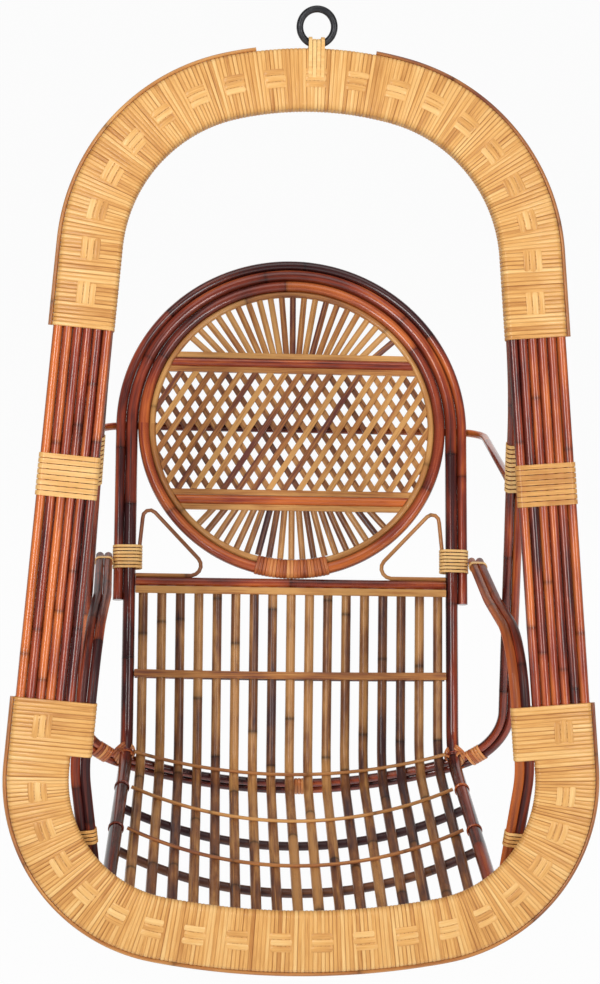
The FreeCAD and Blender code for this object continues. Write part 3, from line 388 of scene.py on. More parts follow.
def islands(count, edges):
    """A number for each point, the same for all points of one solid."""
    label = np.arange(count)
    while True:
        lower = label.copy()
        np.minimum.at(lower, edges[:, 0], label[edges[:, 1]])
        np.minimum.at(lower, edges[:, 1], label[edges[:, 0]])
        lower = lower[lower]
        if (lower == label).all():
            return np.unique(label, return_inverse=True)[1].ravel()
        label = lower


def flat_strips(name, material, slot, bevel, body=CHAIR):
    """A node's strips with their edges eased, most of them pale and a few dark.

    The pattern runs along each strip's own longest way.
    """
    points, _, _, corners = node_arrays(name)
    welded, back = np.unique(np.round(points, WELD_DIGITS), axis=0, return_inverse=True)
    corners = back.ravel()[corners]
    edges = np.concatenate([corners[:, [0, 1]], corners[:, [1, 2]]])
    strip_of = islands(len(welded), edges)
    chance = dice(name)
    pattern = np.zeros((len(welded), 2))
    tones = np.zeros(len(welded))
    for strip in range(strip_of.max() + 1):
        own = strip_of == strip
        away = welded[own] - welded[own].mean(0)
        ways = np.linalg.svd(away, full_matrices=False)[2]
        pattern[own] = np.stack([away @ ways[1], away @ ways[0] + chance.uniform(0, CANE_SHIFT)], 1)
        tones[own] = chance.uniform() ** STRIP_POWER
    piece = make_piece(name + "_strips", welded, corners.ravel().astype(np.int32),
                       np.full(len(corners), 3, np.int32), pattern, tones, material, body, slot, name)
    ease = piece.modifiers.new("eased edges", "BEVEL")
    ease.width = bevel
    ease.segments = EASE_SEGMENTS
    ease.limit_method = "ANGLE"
    ease.angle_limit = SHARP_TURN
    ease.harden_normals = False
    return piece


# Finishes

STREAK_NOISE = (71.0, 4.0)  # seed and detail
BLOTCH_NOISE = (37.0, 3.0)
SHADE_SEED = 91.0
SHADE_SPREAD = 0.36        # how far the shade of a strand moves its tone
TONE_SPREAD = 0.2          # from the middle tone to the dark and the light one, at a contrast of 1
NOISE_ROUGHNESS = 0.6
KNOT_SHARES = ((0.0, 1.0), (0.1, 0.8), (0.28, 0.3), (1.0, 0.0))
# Painted shade of a wrap: a little over the flanks of each turn, more in the grooves between turns
FLANK_SHADE_STOP = (0.3, (0.97, 0.95, 0.92))
GROOVE_SHADE_SHARES = ((0.43, (0.45, 0.6, 0.7)), (0.5, (0.75, 0.9, 1.0)))
LEAST_GROOVE_SHARE = 0.3
# Painted shade on both sides of a cane, where canes meet, starts at this size of the cosine
SIDE_SHADE_START = 0.55
GRAIN_STRENGTH = 0.2
IRON_WEAR = 2.2            # worn iron is this many times as pale


def feed(tree, node, inputs):
    """Set a node's sockets, each to a value or to the output that feeds it."""
    for key, value in inputs.items():
        if isinstance(value, bpy.types.NodeSocket):
            tree.links.new(value, node.inputs[key])
        else:
            node.inputs[key].default_value = value


def put(tree, kind, inputs=None, **settings):
    """One shader node with its settings and what its sockets are fed."""
    made = tree.nodes.new("ShaderNode" + kind)
    for key, value in settings.items():
        setattr(made, key, value)
    feed(tree, made, inputs or {})
    return made


def new_material(name):
    """A material, its nodes and its shader."""
    material = bpy.data.materials.new(name)
    material.use_nodes = True
    return material, material.node_tree, material.node_tree.nodes["Principled BSDF"]


def maths(tree, operation, *values):
    """The result of one Math node."""
    return put(tree, "Math", dict(enumerate(values)), operation=operation).outputs[0]


def mean_of(tree, a, b):
    return maths(tree, "ADD", maths(tree, "MULTIPLY", a, 0.5), maths(tree, "MULTIPLY", b, 0.5))


def from_half(tree, value):
    """How far the fraction of a value lies from a half."""
    return maths(tree, "ABSOLUTE", maths(tree, "SUBTRACT", maths(tree, "FRACT", value), 0.5))


def nearest_whole(tree, value):
    return maths(tree, "FLOOR", maths(tree, "ADD", value, 0.5))


def ramp(tree, value, stops):
    """A colour for a value, blended between (place, colour) stops."""
    made = put(tree, "ValToRGB", {"Fac": value})
    blend = made.color_ramp
    blend.elements[0].position, blend.elements[0].color = stops[0][0], (*stops[0][1], 1)
    blend.elements[-1].position, blend.elements[-1].color = stops[-1][0], (*stops[-1][1], 1)
    for place, colour in stops[1:-1]:
        blend.elements.new(place).color = (*colour, 1)
    return made.outputs["Color"]


def multiply(tree, share, a, b):
    """Colour a times colour b, as far as the share says."""
    made = put(tree, "Mix", {"Factor": share}, data_type="RGBA", blend_type="MULTIPLY")
    first, second = [i for i, socket in enumerate(made.inputs) if socket.type == "RGBA"]
    feed(tree, made, {first: a, second: b})
    return next(socket for socket in made.outputs if socket.type == "RGBA")


def knot_lines(tree, knot, dark):
    """Grey at the knots, where knot, which counts them along a cane, is a whole number and a half."""
    looks = bpy.context.scene.swing_chair.cane
    far = maths(tree, "MULTIPLY", from_half(tree, knot), looks.knot_spacing / (looks.knot_length * 2))
    return ramp(tree, far, [(place, (1 - dark * share,) * 3) for place, share in KNOT_SHARES])


def groove_shade_lines(tree, along, dark):
    """Painted shade, brown in the grooves where along, which counts turns, is whole, and how deep each one
    is.
    """
    deep = [(place, tuple(1 - dark * share for share in shares)) for place, shares in GROOVE_SHADE_SHARES]
    line = ramp(tree, from_half(tree, along), [(0.0, WHITE), FLANK_SHADE_STOP, *deep])
    which = nearest_whole(tree, along)
    depth = put(tree, "TexWhiteNoise", {"W": which}, noise_dimensions="1D").outputs["Value"]
    return line, maths(tree, "ADD", maths(tree, "POWER", depth, 2.0), LEAST_GROOVE_SHARE)


def painted_side_shade(tree, round_it, dark):
    """Grey painted shade on both sides of a cane, where canes meet: where the size of cos 2 pi u is near 1.
    """
    turn = maths(tree, "MULTIPLY", round_it, FULL_TURN)
    side = maths(tree, "ABSOLUTE", maths(tree, "COSINE", turn))
    return ramp(tree, side, [(SIDE_SHADE_START, WHITE), (1.0, (1 - dark,) * 3)])


def cane_finish(name, colours, grain, blotch, gloss, knots=0.0, grooves=0.0, side_shade=0.0, contrast=1.0):
    """Cane: streaks along the fibre, blotches, and a shade for each strand and each length between knots.

    grain and blotch are how often the pattern changes per unit of the piece's map, round and along;
    gloss is the roughness and the weight of the lacquer, which fills the grain; the next three say how
    dark the knot lines are, the painted shade in the grooves between turns of a wrap, and the painted
    shade along both sides of a cane, where canes meet.
    """
    material, tree, shader = new_material(name)
    tone = put(tree, "Attribute", attribute_name="tone").outputs["Fac"]
    parts = put(tree, "SeparateXYZ", {"Vector": put(tree, "UVMap", uv_map="Pattern").outputs["UV"]})
    round_it, along = parts.outputs["X"], parts.outputs["Y"]

    def noise(scale, seed, detail):
        ways = zip("XYZ", (round_it, along, tone), (*scale, seed))
        at = put(tree, "CombineXYZ", {way: maths(tree, "MULTIPLY", value, by) for way, value, by in ways})
        return put(tree, "TexNoise", {"Vector": at.outputs["Vector"], "Scale": 1.0, "Detail": detail,
                                      "Roughness": NOISE_ROUGHNESS}).outputs["Fac"]

    streak = noise(grain, *STREAK_NOISE)
    mixed = mean_of(tree, streak, noise(blotch, *BLOTCH_NOISE))
    shade = tone
    if knots:
        knot = maths(tree, "DIVIDE", along, bpy.context.scene.swing_chair.cane.knot_spacing)
        key = put(tree, "CombineXYZ", {"X": nearest_whole(tree, knot),
                                       "Y": maths(tree, "MULTIPLY", tone, SHADE_SEED)}).outputs["Vector"]
        own = put(tree, "TexWhiteNoise", {"Vector": key}, noise_dimensions="2D").outputs["Value"]
        shade = mean_of(tree, own, tone)
    shade = maths(tree, "MULTIPLY", maths(tree, "SUBTRACT", shade, 0.5), SHADE_SPREAD)
    spread = TONE_SPREAD / contrast
    colour = ramp(tree, maths(tree, "ADD", mixed, shade),
                  [(0.5 - spread, colours[0]), (0.5, colours[1]), (0.5 + spread, colours[2])])
    if knots:
        colour = multiply(tree, 1.0, colour, knot_lines(tree, knot, knots))
    # Painted shade in the grooves between turns of a wrap
    if grooves:
        line, depth = groove_shade_lines(tree, along, grooves)
        colour = multiply(tree, depth, colour, line)
    # Painted shade along both sides of the cane, where canes meet
    if side_shade:
        colour = multiply(tree, 1.0, colour, painted_side_shade(tree, round_it, side_shade))
    unfilled = (1 - gloss[1]) ** 2
    raised = put(tree, "Bump", {"Height": streak, "Strength": GRAIN_STRENGTH * unfilled, "Distance": 0.001})
    feed(tree, shader, {"Base Color": colour, "Roughness": gloss[0], "Specular IOR Level": 0.25,
                        "Coat Weight": gloss[1], "Coat Roughness": 0.12,
                        "Normal": raised.outputs["Normal"]})
    return material


def iron_finish():
    """Black iron, worn a little paler in patches."""
    material, tree, shader = new_material("black_iron")
    where = put(tree, "TexCoord").outputs["Object"]
    wear = put(tree, "TexNoise", {"Vector": where, "Scale": 160.0, "Detail": 4.0}).outputs["Fac"]
    dark = tuple(bpy.context.scene.swing_chair.tints.iron)
    colour = ramp(tree, wear, [(0.35, dark), (0.75, tuple(IRON_WEAR * c for c in dark))])
    raised = put(tree, "Bump", {"Height": wear, "Strength": 0.2, "Distance": 0.0006})
    feed(tree, shader, {"Base Color": colour, "Metallic": 0.6, "Roughness": 0.38,
                        "Normal": raised.outputs["Normal"]})
    return material


def shades(tint):
    """Names of a tint's dark, middle and light tone."""
    return tint + "_dark", tint, tint + "_light"


# Tones, grain, blotch, gloss and lines of each finish.  The map counts turns and metres on a round cane,
# metres both ways on a strip, and metres and turns of the wrap on a wrap.
LACQUER_GLOSS = (0.25, 0.6)
WORN_GLOSS = (0.5, 0.12)
STRAW_GLOSS = (0.42, 0.15)
TAN_GLOSS = (0.34, 0.3)
# The lacquered finishes paint shade along both sides of each cane, where canes meet
LACQUER_LINES = dict(knots=0.55, side_shade=0.5, contrast=1.45)
RECIPES = {
    "lacquered": (shades("lacquer"), (7, 2.2), (1.6, 6), LACQUER_GLOSS, LACQUER_LINES),
    "worn_lacquer": (shades("lacquer"), (7, 2.2), (1.6, 6), WORN_GLOSS, LACQUER_LINES),
    "lacquered_bar": (shades("lacquer"), (320, 3), (70, 8), LACQUER_GLOSS, dict(contrast=1.3)),
    # The wrap finishes paint shade in the grooves between turns
    "straw_wrap": (shades("straw"), (22, 3.5), (9, 0.11), STRAW_GLOSS, dict(grooves=0.72, contrast=0.9)),
    "straw_strip": (shades("straw"), (900, 14), (60, 14), STRAW_GLOSS, dict(contrast=0.9)),
    "tan_cane": (shades("tan"), (6, 5), (1.5, 9), TAN_GLOSS, dict(knots=0.5)),
    "tan_strip": (shades("tan"), (420, 9), (50, 10), TAN_GLOSS, dict(contrast=1.2)),
    "slat_cane": (shades("slat"), (5, 7), (1.5, 12), (0.36, 0.2), dict(knots=0.7, contrast=1.4)),
    "slat_strip": (shades("slat"), (420, 9), (50, 10), (0.32, 0.3), dict(contrast=1.2)),
    "dark_cane": (("lacquer_dark", "slat_dark", "slat"), (5, 5), (1.5, 9), (0.36, 0.25), dict(knots=0.5)),
    "amber_wrap": (shades("amber"), (22, 3.5), (9, 0.11), (0.4, 0.2), dict(grooves=0.8)),
    "amber_strip": (shades("amber"), (900, 14), (60, 14), (0.35, 0.3), {}),
}
FINISHES = {}


def finish(name):
    """A finish by name, made once."""
    if name not in FINISHES:
        if name == "iron":
            FINISHES[name] = iron_finish()
        else:
            tones, grain, blotch, gloss, lines = RECIPES[name]
            tints = bpy.context.scene.swing_chair.tints
            colours = [tuple(getattr(tints, tone)) for tone in tones]
            FINISHES[name] = cane_finish(name, colours, grain, blotch, gloss, **lines)
    return FINISHES[name]


# Settings

def length(name, description, default):
    """A setting in metres."""
    return FloatProperty(name=name, description=description, default=default, unit="LENGTH")


def angle(name, description, degrees):
    """A setting that turns something."""
    return FloatProperty(name=name, description=description, default=math.radians(degrees), unit="ROTATION")


def watts(name, description, default):
    """A setting for the power of a light."""
    return FloatProperty(name=name, description=description, default=default, unit="POWER")


def tint(name, description, default):
    """A setting that is a colour."""
    return FloatVectorProperty(name=name, description=description, default=default, subtype="COLOR")


class CaneLooks(bpy.types.PropertyGroup):
    """Knots of the canes, and how closely canes lie on each other."""
    knot_spacing: length("Knot spacing", "Between the knots of a cane", 0.27)
    knot_length: length("Knot length", "Half the length of a knot's swelling", 0.008)
    knot_swell: FloatProperty(
        name="Knot swell", description="Share of its radius that a cane is thicker at a knot", default=0.02)
    press: length("Press", "Thickening that lets canes side by side touch", 0.00015)
    thin_press: length("Thin press", "Thickening that seats the thin canes on what they follow", 0.0005)
    slat_press: length("Slat press", "Thickening that seats the slats on what crosses them", 0.0012)


class WrapLooks(bpy.types.PropertyGroup):
    """Turns of the wrapping cane and the blocks woven into it."""
    turn: length("Turn", "Width of one turn of the wrap", 0.006)
    groove: length("Groove", "Depth of the groove between turns", 0.0008)
    band_middle: length("Band middle", "From the outer cane to the middle of the band", 0.0358)
    block_first: length("First block", "From the end of a wrap to its first woven block", 0.036)
    block_step: length("Block step", "Between the centres of woven blocks", 0.064)
    block_length: length("Block length", "Length of a woven block's strips", 0.034)
    block_strip: length("Block strip", "Width of a woven block's strips", 0.0085)
    block_rise: length("Block rise", "Height of a woven block over the turns", 0.0011)


class Tints(bpy.types.PropertyGroup):
    """Colours of the cane, the iron and the floor."""
    lacquer_dark: tint("Dark lacquer", "Deepest tone of the lacquered canes", (0.045, 0.009, 0.01))
    lacquer: tint("Lacquer", "Middle tone of the lacquered canes", (0.31, 0.046, 0.019))
    lacquer_light: tint("Light lacquer", "Palest tone of the lacquered canes", (0.66, 0.165, 0.034))
    straw_dark: tint("Dark straw", "Deepest tone of the wraps", (0.48, 0.2, 0.05))
    straw: tint("Straw", "Middle tone of the wraps", (0.74, 0.39, 0.118))
    straw_light: tint("Light straw", "Palest tone of the wraps", (0.86, 0.56, 0.23))
    tan_dark: tint("Dark tan", "Deepest tone of the thin canes and the fans", (0.15, 0.043, 0.03))
    tan: tint("Tan", "Middle tone of the thin canes and the fans", (0.44, 0.175, 0.05))
    tan_light: tint("Light tan", "Palest tone of the thin canes and the fans", (0.66, 0.34, 0.11))
    slat_dark: tint("Dark slat", "Deepest tone of the slats", (0.06, 0.026, 0.027))
    slat: tint("Slat", "Middle tone of the slats", (0.23, 0.088, 0.034))
    slat_light: tint("Light slat", "Palest tone of the slats", (0.54, 0.265, 0.09))
    amber_dark: tint("Dark amber", "Deepest tone of the lashings", (0.2, 0.035, 0.012))
    amber: tint("Amber", "Middle tone of the lashings", (0.55, 0.16, 0.045))
    amber_light: tint("Light amber", "Palest tone of the lashings", (0.75, 0.34, 0.11))
    iron: tint("Iron", "Colour of the hanging ring", (0.02, 0.02, 0.022))
    floor: tint("Floor", "Colour of the studio floor", (0.9, 0.9, 0.9))


class StageLooks(bpy.types.PropertyGroup):
    """Camera, floor and lights."""
    camera_place: FloatVectorProperty(
        name="Camera", description="Place of the camera in the frame", subtype="TRANSLATION", unit="LENGTH",
        default=(-0.142, -2.489, 0.018))
    pitch: angle("Pitch", "Downward tilt of the camera", 16.12)
    yaw: angle("Yaw", "Turn of the camera to its right", 3.21)
    roll: angle("Roll", "Roll of the camera", 1.9)
    lens: FloatProperty(
        name="Lens", description="Focal length on a 36 mm sensor, in millimetres", default=60.55)
    floor_drop: length("Floor", "From the chair's lowest point down to the floor", 0.42)
    key: watts("Key light", "Power of the tall light on the left", 55.0)
    fill: watts("Fill light", "Power of the tall light on the right", 35.0)
    top: watts("Top light", "Power of the wide light overhead", 18.0)
    back: watts("Back light", "Power of the wide light behind", 22.0)
    sky: FloatProperty(name="Sky", description="Strength of the even light from all round", default=0.22)


class SwingChairSettings(bpy.types.PropertyGroup):
    """All that a user would change."""
    cane: PointerProperty(type=CaneLooks)
    wrap: PointerProperty(type=WrapLooks)
    tints: PointerProperty(type=Tints)
    stage: PointerProperty(type=StageLooks)


# Wraps of the hoop

class Band:
    """A cane's line with the ways across it, towards its own middle, and through it, to the rear."""

    def __init__(self, node):
        ((line, along),), self.radius = cane_lines(node, BAND_STEP)
        _, side, up = frames_along(line)
        side *= np.sign(((line.mean(0) - line) * side).sum())
        up *= np.sign(up[:, 1].sum())
        half = len(line) // 2
        self.from_end = line, side, up, along
        self.from_middle = *(np.roll(a, half, axis=0) for a in (line, side, up)), along

    def under(self, node):
        """The stretch of the cane that a wrap covers, and the wrap's box across and through it."""
        points = node_arrays(node)[0]
        for line, across, through, along in (self.from_end, self.from_middle):
            parts = np.array_split(points, max(len(points) // POINTS_AT_ONCE, 1))
            apart = [np.linalg.norm(part[:, None] - line[None], axis=2) for part in parts]
            nearest = np.concatenate([np.argmin(far, axis=1) for far in apart])
            if nearest.max() - nearest.min() < WHOLE_SHARE * len(line):
                break
        away = points - line[nearest]
        box = [[f((away * way[nearest]).sum(1)) for f in (np.min, np.max)] for way in (across, through)]
        run = slice(nearest.min(), nearest.max() + 1)
        return (line[run], across[run], through[run], along[run] - along[run][0]), box


def wrap_rows(run, centres, inner, outer, turn, groove):
    """Rows of a wrapped band: at each point of the path, the outline round equal circles.

    The outline's point in direction a is the circle centre that lies furthest that way, plus the
    radius that way.  Over each turn of the wrap the radius is outer - groove (2 |w - 1/2|)^4, where w
    runs from 0 to 1.
    """
    along = run[3]
    directions = np.linspace(0, FULL_TURN, OUTLINE_POINTS, endpoint=False) + OUTLINE_SHIFT
    way = np.stack([np.cos(directions), np.sin(directions)], 1)
    furthest = np.array(centres)[np.argmax(way @ np.array(centres).T, axis=1)]
    turns = max(int(round(along[-1] / turn)), 1)
    place = np.append((np.arange(turns)[:, None] + TURN_SHARES).ravel(), turns)
    crown = outer - groove * (2 * np.abs(place % 1 - 0.5)) ** 4
    place = np.concatenate([place[:1], place, place[-1:]])
    crown = np.concatenate([[inner], crown, [inner]])
    line, across, through = (carried(a, along, place / turns * along[-1]) for a in run[:3])
    a = furthest[None, :, 0] + way[None, :, 0] * crown[:, None]
    d = furthest[None, :, 1] + way[None, :, 1] * crown[:, None]
    rows = line[:, None] + across[:, None] * a[..., None] + through[:, None] * d[..., None]
    section = furthest + way * outer
    round_it = np.concatenate([[0], np.cumsum(np.linalg.norm(np.diff(section, axis=0), axis=1))])
    return rows, round_it[None], place[:, None], np.minimum(place.astype(int), turns - 1)


def carried(values, along, at):
    """Values given along a path, at other distances along it."""
    return np.stack([np.interp(at, along, values[:, k]) for k in range(3)], 1)


def wrapped(node, band, material="straw_wrap"):
    """Turns of split cane in place of a wrap, round its outermost canes and, if deep, those behind."""
    looks = bpy.context.scene.swing_chair.wrap
    run, ((low, high), (_, back)) = band.under(node)
    outer = -low
    last = high - outer
    centres = [(0, 0), (last, 0)]
    if back - outer > band.radius:
        centres += [(last, back - outer), (last * (HOOP_CANES - 2) / (HOOP_CANES - 1), back - outer)]
    rows, u, v, turn_of = wrap_rows(run, centres, band.radius, outer, looks.turn, looks.groove)
    shade = dice(node).uniform(*TURN_TONES, turn_of.max() + 1)
    skin = Skin()
    skin.strand(rows, u, v, shade[turn_of][:, None])
    skin.piece(node + "_turns", finish(material), CHAIR, "natural_cane", node)
    return run, outer


def ribbons(name, rows_of_lines, ups, half_width, half_thick, material, slot):
    """Flat strips along lines, each an ellipse carried along its line with its narrow way along up."""
    skin = Skin()
    chance = dice(name)
    turn = np.arange(RIBBON_SIDES) * FULL_TURN / RIBBON_SIDES
    for line, up in zip(rows_of_lines, ups):
        heading = unit(np.gradient(line, axis=0))
        side = unit(np.cross(heading, up))
        rise = np.cross(side, heading)
        ring = side[:, None] * (np.cos(turn) * half_width)[None, :, None]
        ring = ring + rise[:, None] * (np.sin(turn) * half_thick)[None, :, None]
        along = np.concatenate([[0], np.cumsum(np.linalg.norm(np.diff(line, axis=0), axis=1))])
        v = along[:, None] + chance.uniform(0, RIBBON_SHIFT)
        u = (np.cos(turn) * half_width)[None]
        skin.strand(line[:, None] + ring, u, v, chance.uniform(*RIBBON_TONES))
    return skin.piece(name, material, CHAIR, slot)


def woven_blocks(name, run, outer):
    """Blocks of three strips that lie along the band, over its turns, and dip under them at both ends.

    height over the turns = (the block's rise + lift) times a power of a half sine along the strip, less
    the dip of its ends.
    """
    looks = bpy.context.scene.swing_chair.wrap
    line, across, through, along = run
    count = int((along[-1] - 2 * looks.block_first) / looks.block_step) + 1
    first = (along[-1] - (count - 1) * looks.block_step) / 2
    lines, ups = [], []
    chance = dice(name)
    share = np.linspace(0, 1, BLOCK_POINTS)
    height = outer - BLOCK_DIP + (looks.block_rise + BLOCK_LIFT) * np.sin(np.pi * share) ** BLOCK_FULLNESS
    for i in range(count):
        for k in (-1, 0, 1):
            middle = first + i * looks.block_step + chance.uniform(-BLOCK_STRAY, BLOCK_STRAY)
            at = middle + (share - 0.5) * looks.block_length
            p, a, t = (carried(q, along, at) for q in (line, across, through))
            offset = looks.band_middle + k * looks.block_strip * BLOCK_SPREAD_SHARE
            lines.append(p + a * offset - t * height[:, None])
            ups.append(-t)
    return ribbons(name, lines, ups, looks.block_strip / 2, BLOCK_HALF_THICK, finish("straw_strip"),
                   "natural_cane")


def loops_round(name, middle, axis, long_way, half_long, half_wide, offsets, strip, thick, material):
    """Flat strips bound round canes: ovals p = m + a cos t w + b sin t q, side by side along an axis."""
    axis = unit(axis)
    long_way = unit(long_way - axis * (long_way @ axis))
    wide_way = np.cross(axis, long_way)
    t = np.linspace(0, FULL_TURN, LOOP_POINTS)[:, None]
    oval = np.cos(t) * long_way * half_long + np.sin(t) * wide_way * half_wide
    out = np.cos(t) * long_way / half_long + np.sin(t) * wide_way / half_wide
    lines = [middle + axis * offset + oval for offset in offsets]
    return ribbons(name, lines, [unit(out)] * len(lines), strip / 2, thick / 2, material, "natural_cane")


def nearest_pair(one, other):
    """Numbers of the points where two lines come nearest to each other."""
    apart = np.linalg.norm(one[:, None] - other[None], axis=2)
    return np.unravel_index(np.argmin(apart), apart.shape)


def heading_at(line, i):
    """Which way a line runs at one of its points."""
    return line[i + LOOK_AHEAD] - line[i - LOOK_AHEAD]


# Operators

class RingPiece(bpy.types.Operator):
    """Make the iron ring and the lashing through its eye"""
    bl_idname = "swing_chair.ring"
    bl_label = "Hanging ring"

    def execute(self, context):
        round_canes("hang_ring", finish("iron"), "iron", RING, RING_SIDES, RING_STEP)
        flat_strips("ring_lashing", finish("straw_strip"), "natural_cane", WINDING_EASE)
        return {"FINISHED"}


class HoopCanes(bpy.types.Operator):
    """Make the lacquered canes of the front and rear hoops"""
    bl_idname = "swing_chair.hoops"
    bl_label = "Hoop canes"

    def execute(self, context):
        press = context.scene.swing_chair.cane.press
        for name in named("hoop_cane_", "rear_hoop_cane_"):
            round_canes(name, finish("lacquered"), "lacquered_cane", press=press)
        return {"FINISHED"}


class HoopWraps(bpy.types.Operator):
    """Make the wraps of the hoop, their woven blocks and the thin rims"""
    bl_idname = "swing_chair.wraps"
    bl_label = "Hoop wraps"

    def execute(self, context):
        band = Band("hoop_cane_1")
        for node in ("corner_wrap_left", "corner_wrap_right", "arch_wrap", "sill_wrap"):
            run, outer = wrapped(node, band)
            woven_blocks(node + "_blocks", run, outer)
        press = context.scene.swing_chair.cane.thin_press
        for node in ("upper_rim_left", "upper_rim_right", "lower_rim"):
            round_canes(node, finish("tan_cane"), "natural_cane", sides=RIM_SIDES, press=press)
        return {"FINISHED"}


class Windings(bpy.types.Operator):
    """Finish the wound bands and straps and bind the rear hoop to the seat's rails"""
    bl_idname = "swing_chair.windings"
    bl_label = "Windings"

    def execute(self, context):
        for name in named("side_band", "rear_band", "post_wrap", "arm_strap", "leg_lashing"):
            flat_strips(name, finish("straw_strip"), "natural_cane", WINDING_EASE)
        bind_rear_hoop()
        return {"FINISHED"}


def bind_rear_hoop():
    """Crossed lashings where the rear hoop passes the rails, plain ones beside them and in the middle."""
    ((rail, _),), rail_r = cane_lines("back_frame", LASH_STEP)
    ((upper, _),), sill_r = cane_lines("rear_hoop_cane_2", LASH_STEP)
    ((lower, _),), _ = cane_lines("rear_hoop_cane_1", LASH_STEP)
    turns = (np.arange(LASH_TURNS) - LASH_TURNS // 2) * LASH_PITCH
    places = [("middle", np.argmin(np.abs(upper[:, 0]) + upper[:, 2]))]
    for hand, side in ((-1, "left"), (1, "right")):
        i, j = nearest_pair(rail, np.where(upper[:, :1] * hand > 0, upper, np.inf))
        over = rail[i] - upper[j]
        ways = unit(np.array([heading_at(rail, i), heading_at(upper, j)]))
        ways[1] *= np.sign(ways[0] @ ways[1])
        middle = (rail[i] * sill_r + upper[j] * rail_r) / (rail_r + sill_r)
        half_long = np.linalg.norm(over) / 2 + (rail_r + sill_r) / 2 + LASH_ROOM
        half_wide = rail_r * CROSSING_WIDTH_SHARE
        for axis, tag in ((ways[0] + ways[1], "a"), (ways[0] - ways[1], "b")):
            loops_round("rail_lashing_%s_%s" % (side, tag), middle, axis, over, half_long, half_wide,
                        turns, LASH_STRIP, LASH_THICK, finish("amber_strip"))
        outward = 1 if upper[j + 1, 0] * hand > upper[j, 0] * hand else -1
        places.append((side, j + outward * int(LASH_ASIDE / LASH_STEP)))
    for tag, j in places:
        j = np.clip(j, LOOK_AHEAD, len(upper) - 1 - LOOK_AHEAD)
        beside = lower[np.argmin(np.linalg.norm(lower - upper[j], axis=1))]
        over = beside - upper[j]
        half_long = np.linalg.norm(over) / 2 + sill_r + LASH_SEAT
        loops_round("rear_lashing_" + tag, (beside + upper[j]) / 2, heading_at(upper, j), over, half_long,
                    sill_r + LASH_BULGE, turns, LASH_STRIP, LASH_THICK, finish("amber_strip"))


class BackPieces(bpy.types.Operator):
    """Make the arches, the round panel and what crosses the back"""
    bl_idname = "swing_chair.back"
    bl_label = "Back"

    def execute(self, context):
        looks = context.scene.swing_chair.cane
        for name in ("back_frame", "back_arch", "panel_ring",
                     "back_top_rail", "back_mid_cane", "back_brace"):
            round_canes(name, finish("lacquered"), "lacquered_cane", press=looks.press)
        for name in ("upper_bar", "lower_bar"):
            flat_strips(name, finish("lacquered_bar"), "lacquered_cane", BAR_EASE)
        for name in ("panel_liner", "corner_loop_left", "corner_loop_right"):
            round_canes(name, finish("tan_cane"), "natural_cane", press=looks.thin_press)
        for name in ("bar_strips", "back_top_strip", "back_mid_strip"):
            flat_strips(name, finish("tan_strip"), "natural_cane", FLAT_EASE)
        # The rear lattice takes the darker slat finish as painted shade, since it lies behind the front
        # lattice
        for name, material, ease in (
                ("upper_rays", "tan_strip", RAY_EASE), ("lower_rays", "slat_strip", RAY_EASE),
                ("lattice_front", "tan_strip", LATTICE_EASE), ("lattice_rear", "slat_strip", LATTICE_EASE)):
            flat_strips(name, finish(material), "mottled_cane", ease)
        wrapped("panel_tie", Band("panel_ring"), "amber_wrap")
        return {"FINISHED"}


class SeatPieces(bpy.types.Operator):
    """Make the slats of seat and back and the canes that bind them"""
    bl_idname = "swing_chair.seat"
    bl_label = "Seat"

    def execute(self, context):
        press = context.scene.swing_chair.cane.slat_press
        round_canes("slats", finish("slat_cane"), "mottled_cane", press=press)
        round_canes("seat_bindings", finish("tan_cane"), "natural_cane")
        bind_to_rails()
        round_canes("under_canes", finish("dark_cane"), "lacquered_cane", press=press)
        return {"FINISHED"}


def bind_to_rails():
    """Two thin dark turns round the side rail at each end of the seat's bindings."""
    ((rail, _),), rail_r = cane_lines("back_frame", LASH_STEP)
    bindings, _ = cane_lines("seat_bindings", BINDING_STEP)
    ends = [line[k] for line, _ in bindings for k in (0, -1)]
    half = rail_r + TIE_SEAT
    for number, end in enumerate(ends, 1):
        i = np.argmin(np.linalg.norm(rail - end, axis=1))
        loops_round("rail_tie_%d" % number, rail[i], heading_at(rail, i), end - rail[i], half, half,
                    TIE_OFFSETS, TIE_STRIP, TIE_THICK, finish("lacquered_bar"))


class ArmPieces(bpy.types.Operator):
    """Make the canes of the arms"""
    bl_idname = "swing_chair.arms"
    bl_label = "Arms"

    def execute(self, context):
        press = context.scene.swing_chair.cane.press
        for name in named("arm_inner", "arm_outer"):
            round_canes(name, finish("worn_lacquer"), "lacquered_cane", press=press)
        return {"FINISHED"}


class Studio(bpy.types.Operator):
    """Set up the floor, the lights and the camera"""
    bl_idname = "swing_chair.studio"
    bl_label = "Studio"

    def execute(self, context):
        looks = context.scene.swing_chair.stage
        context.scene.view_settings.view_transform = "Standard"
        make_floor(CAD_BOX[0].z - looks.floor_drop)
        make_sky(looks.sky)
        for name, place, size, mirrored in LIGHTS:
            make_light(name + "_light", place, size, getattr(looks, name), mirrored)
        make_camera(looks)
        return {"FINISHED"}


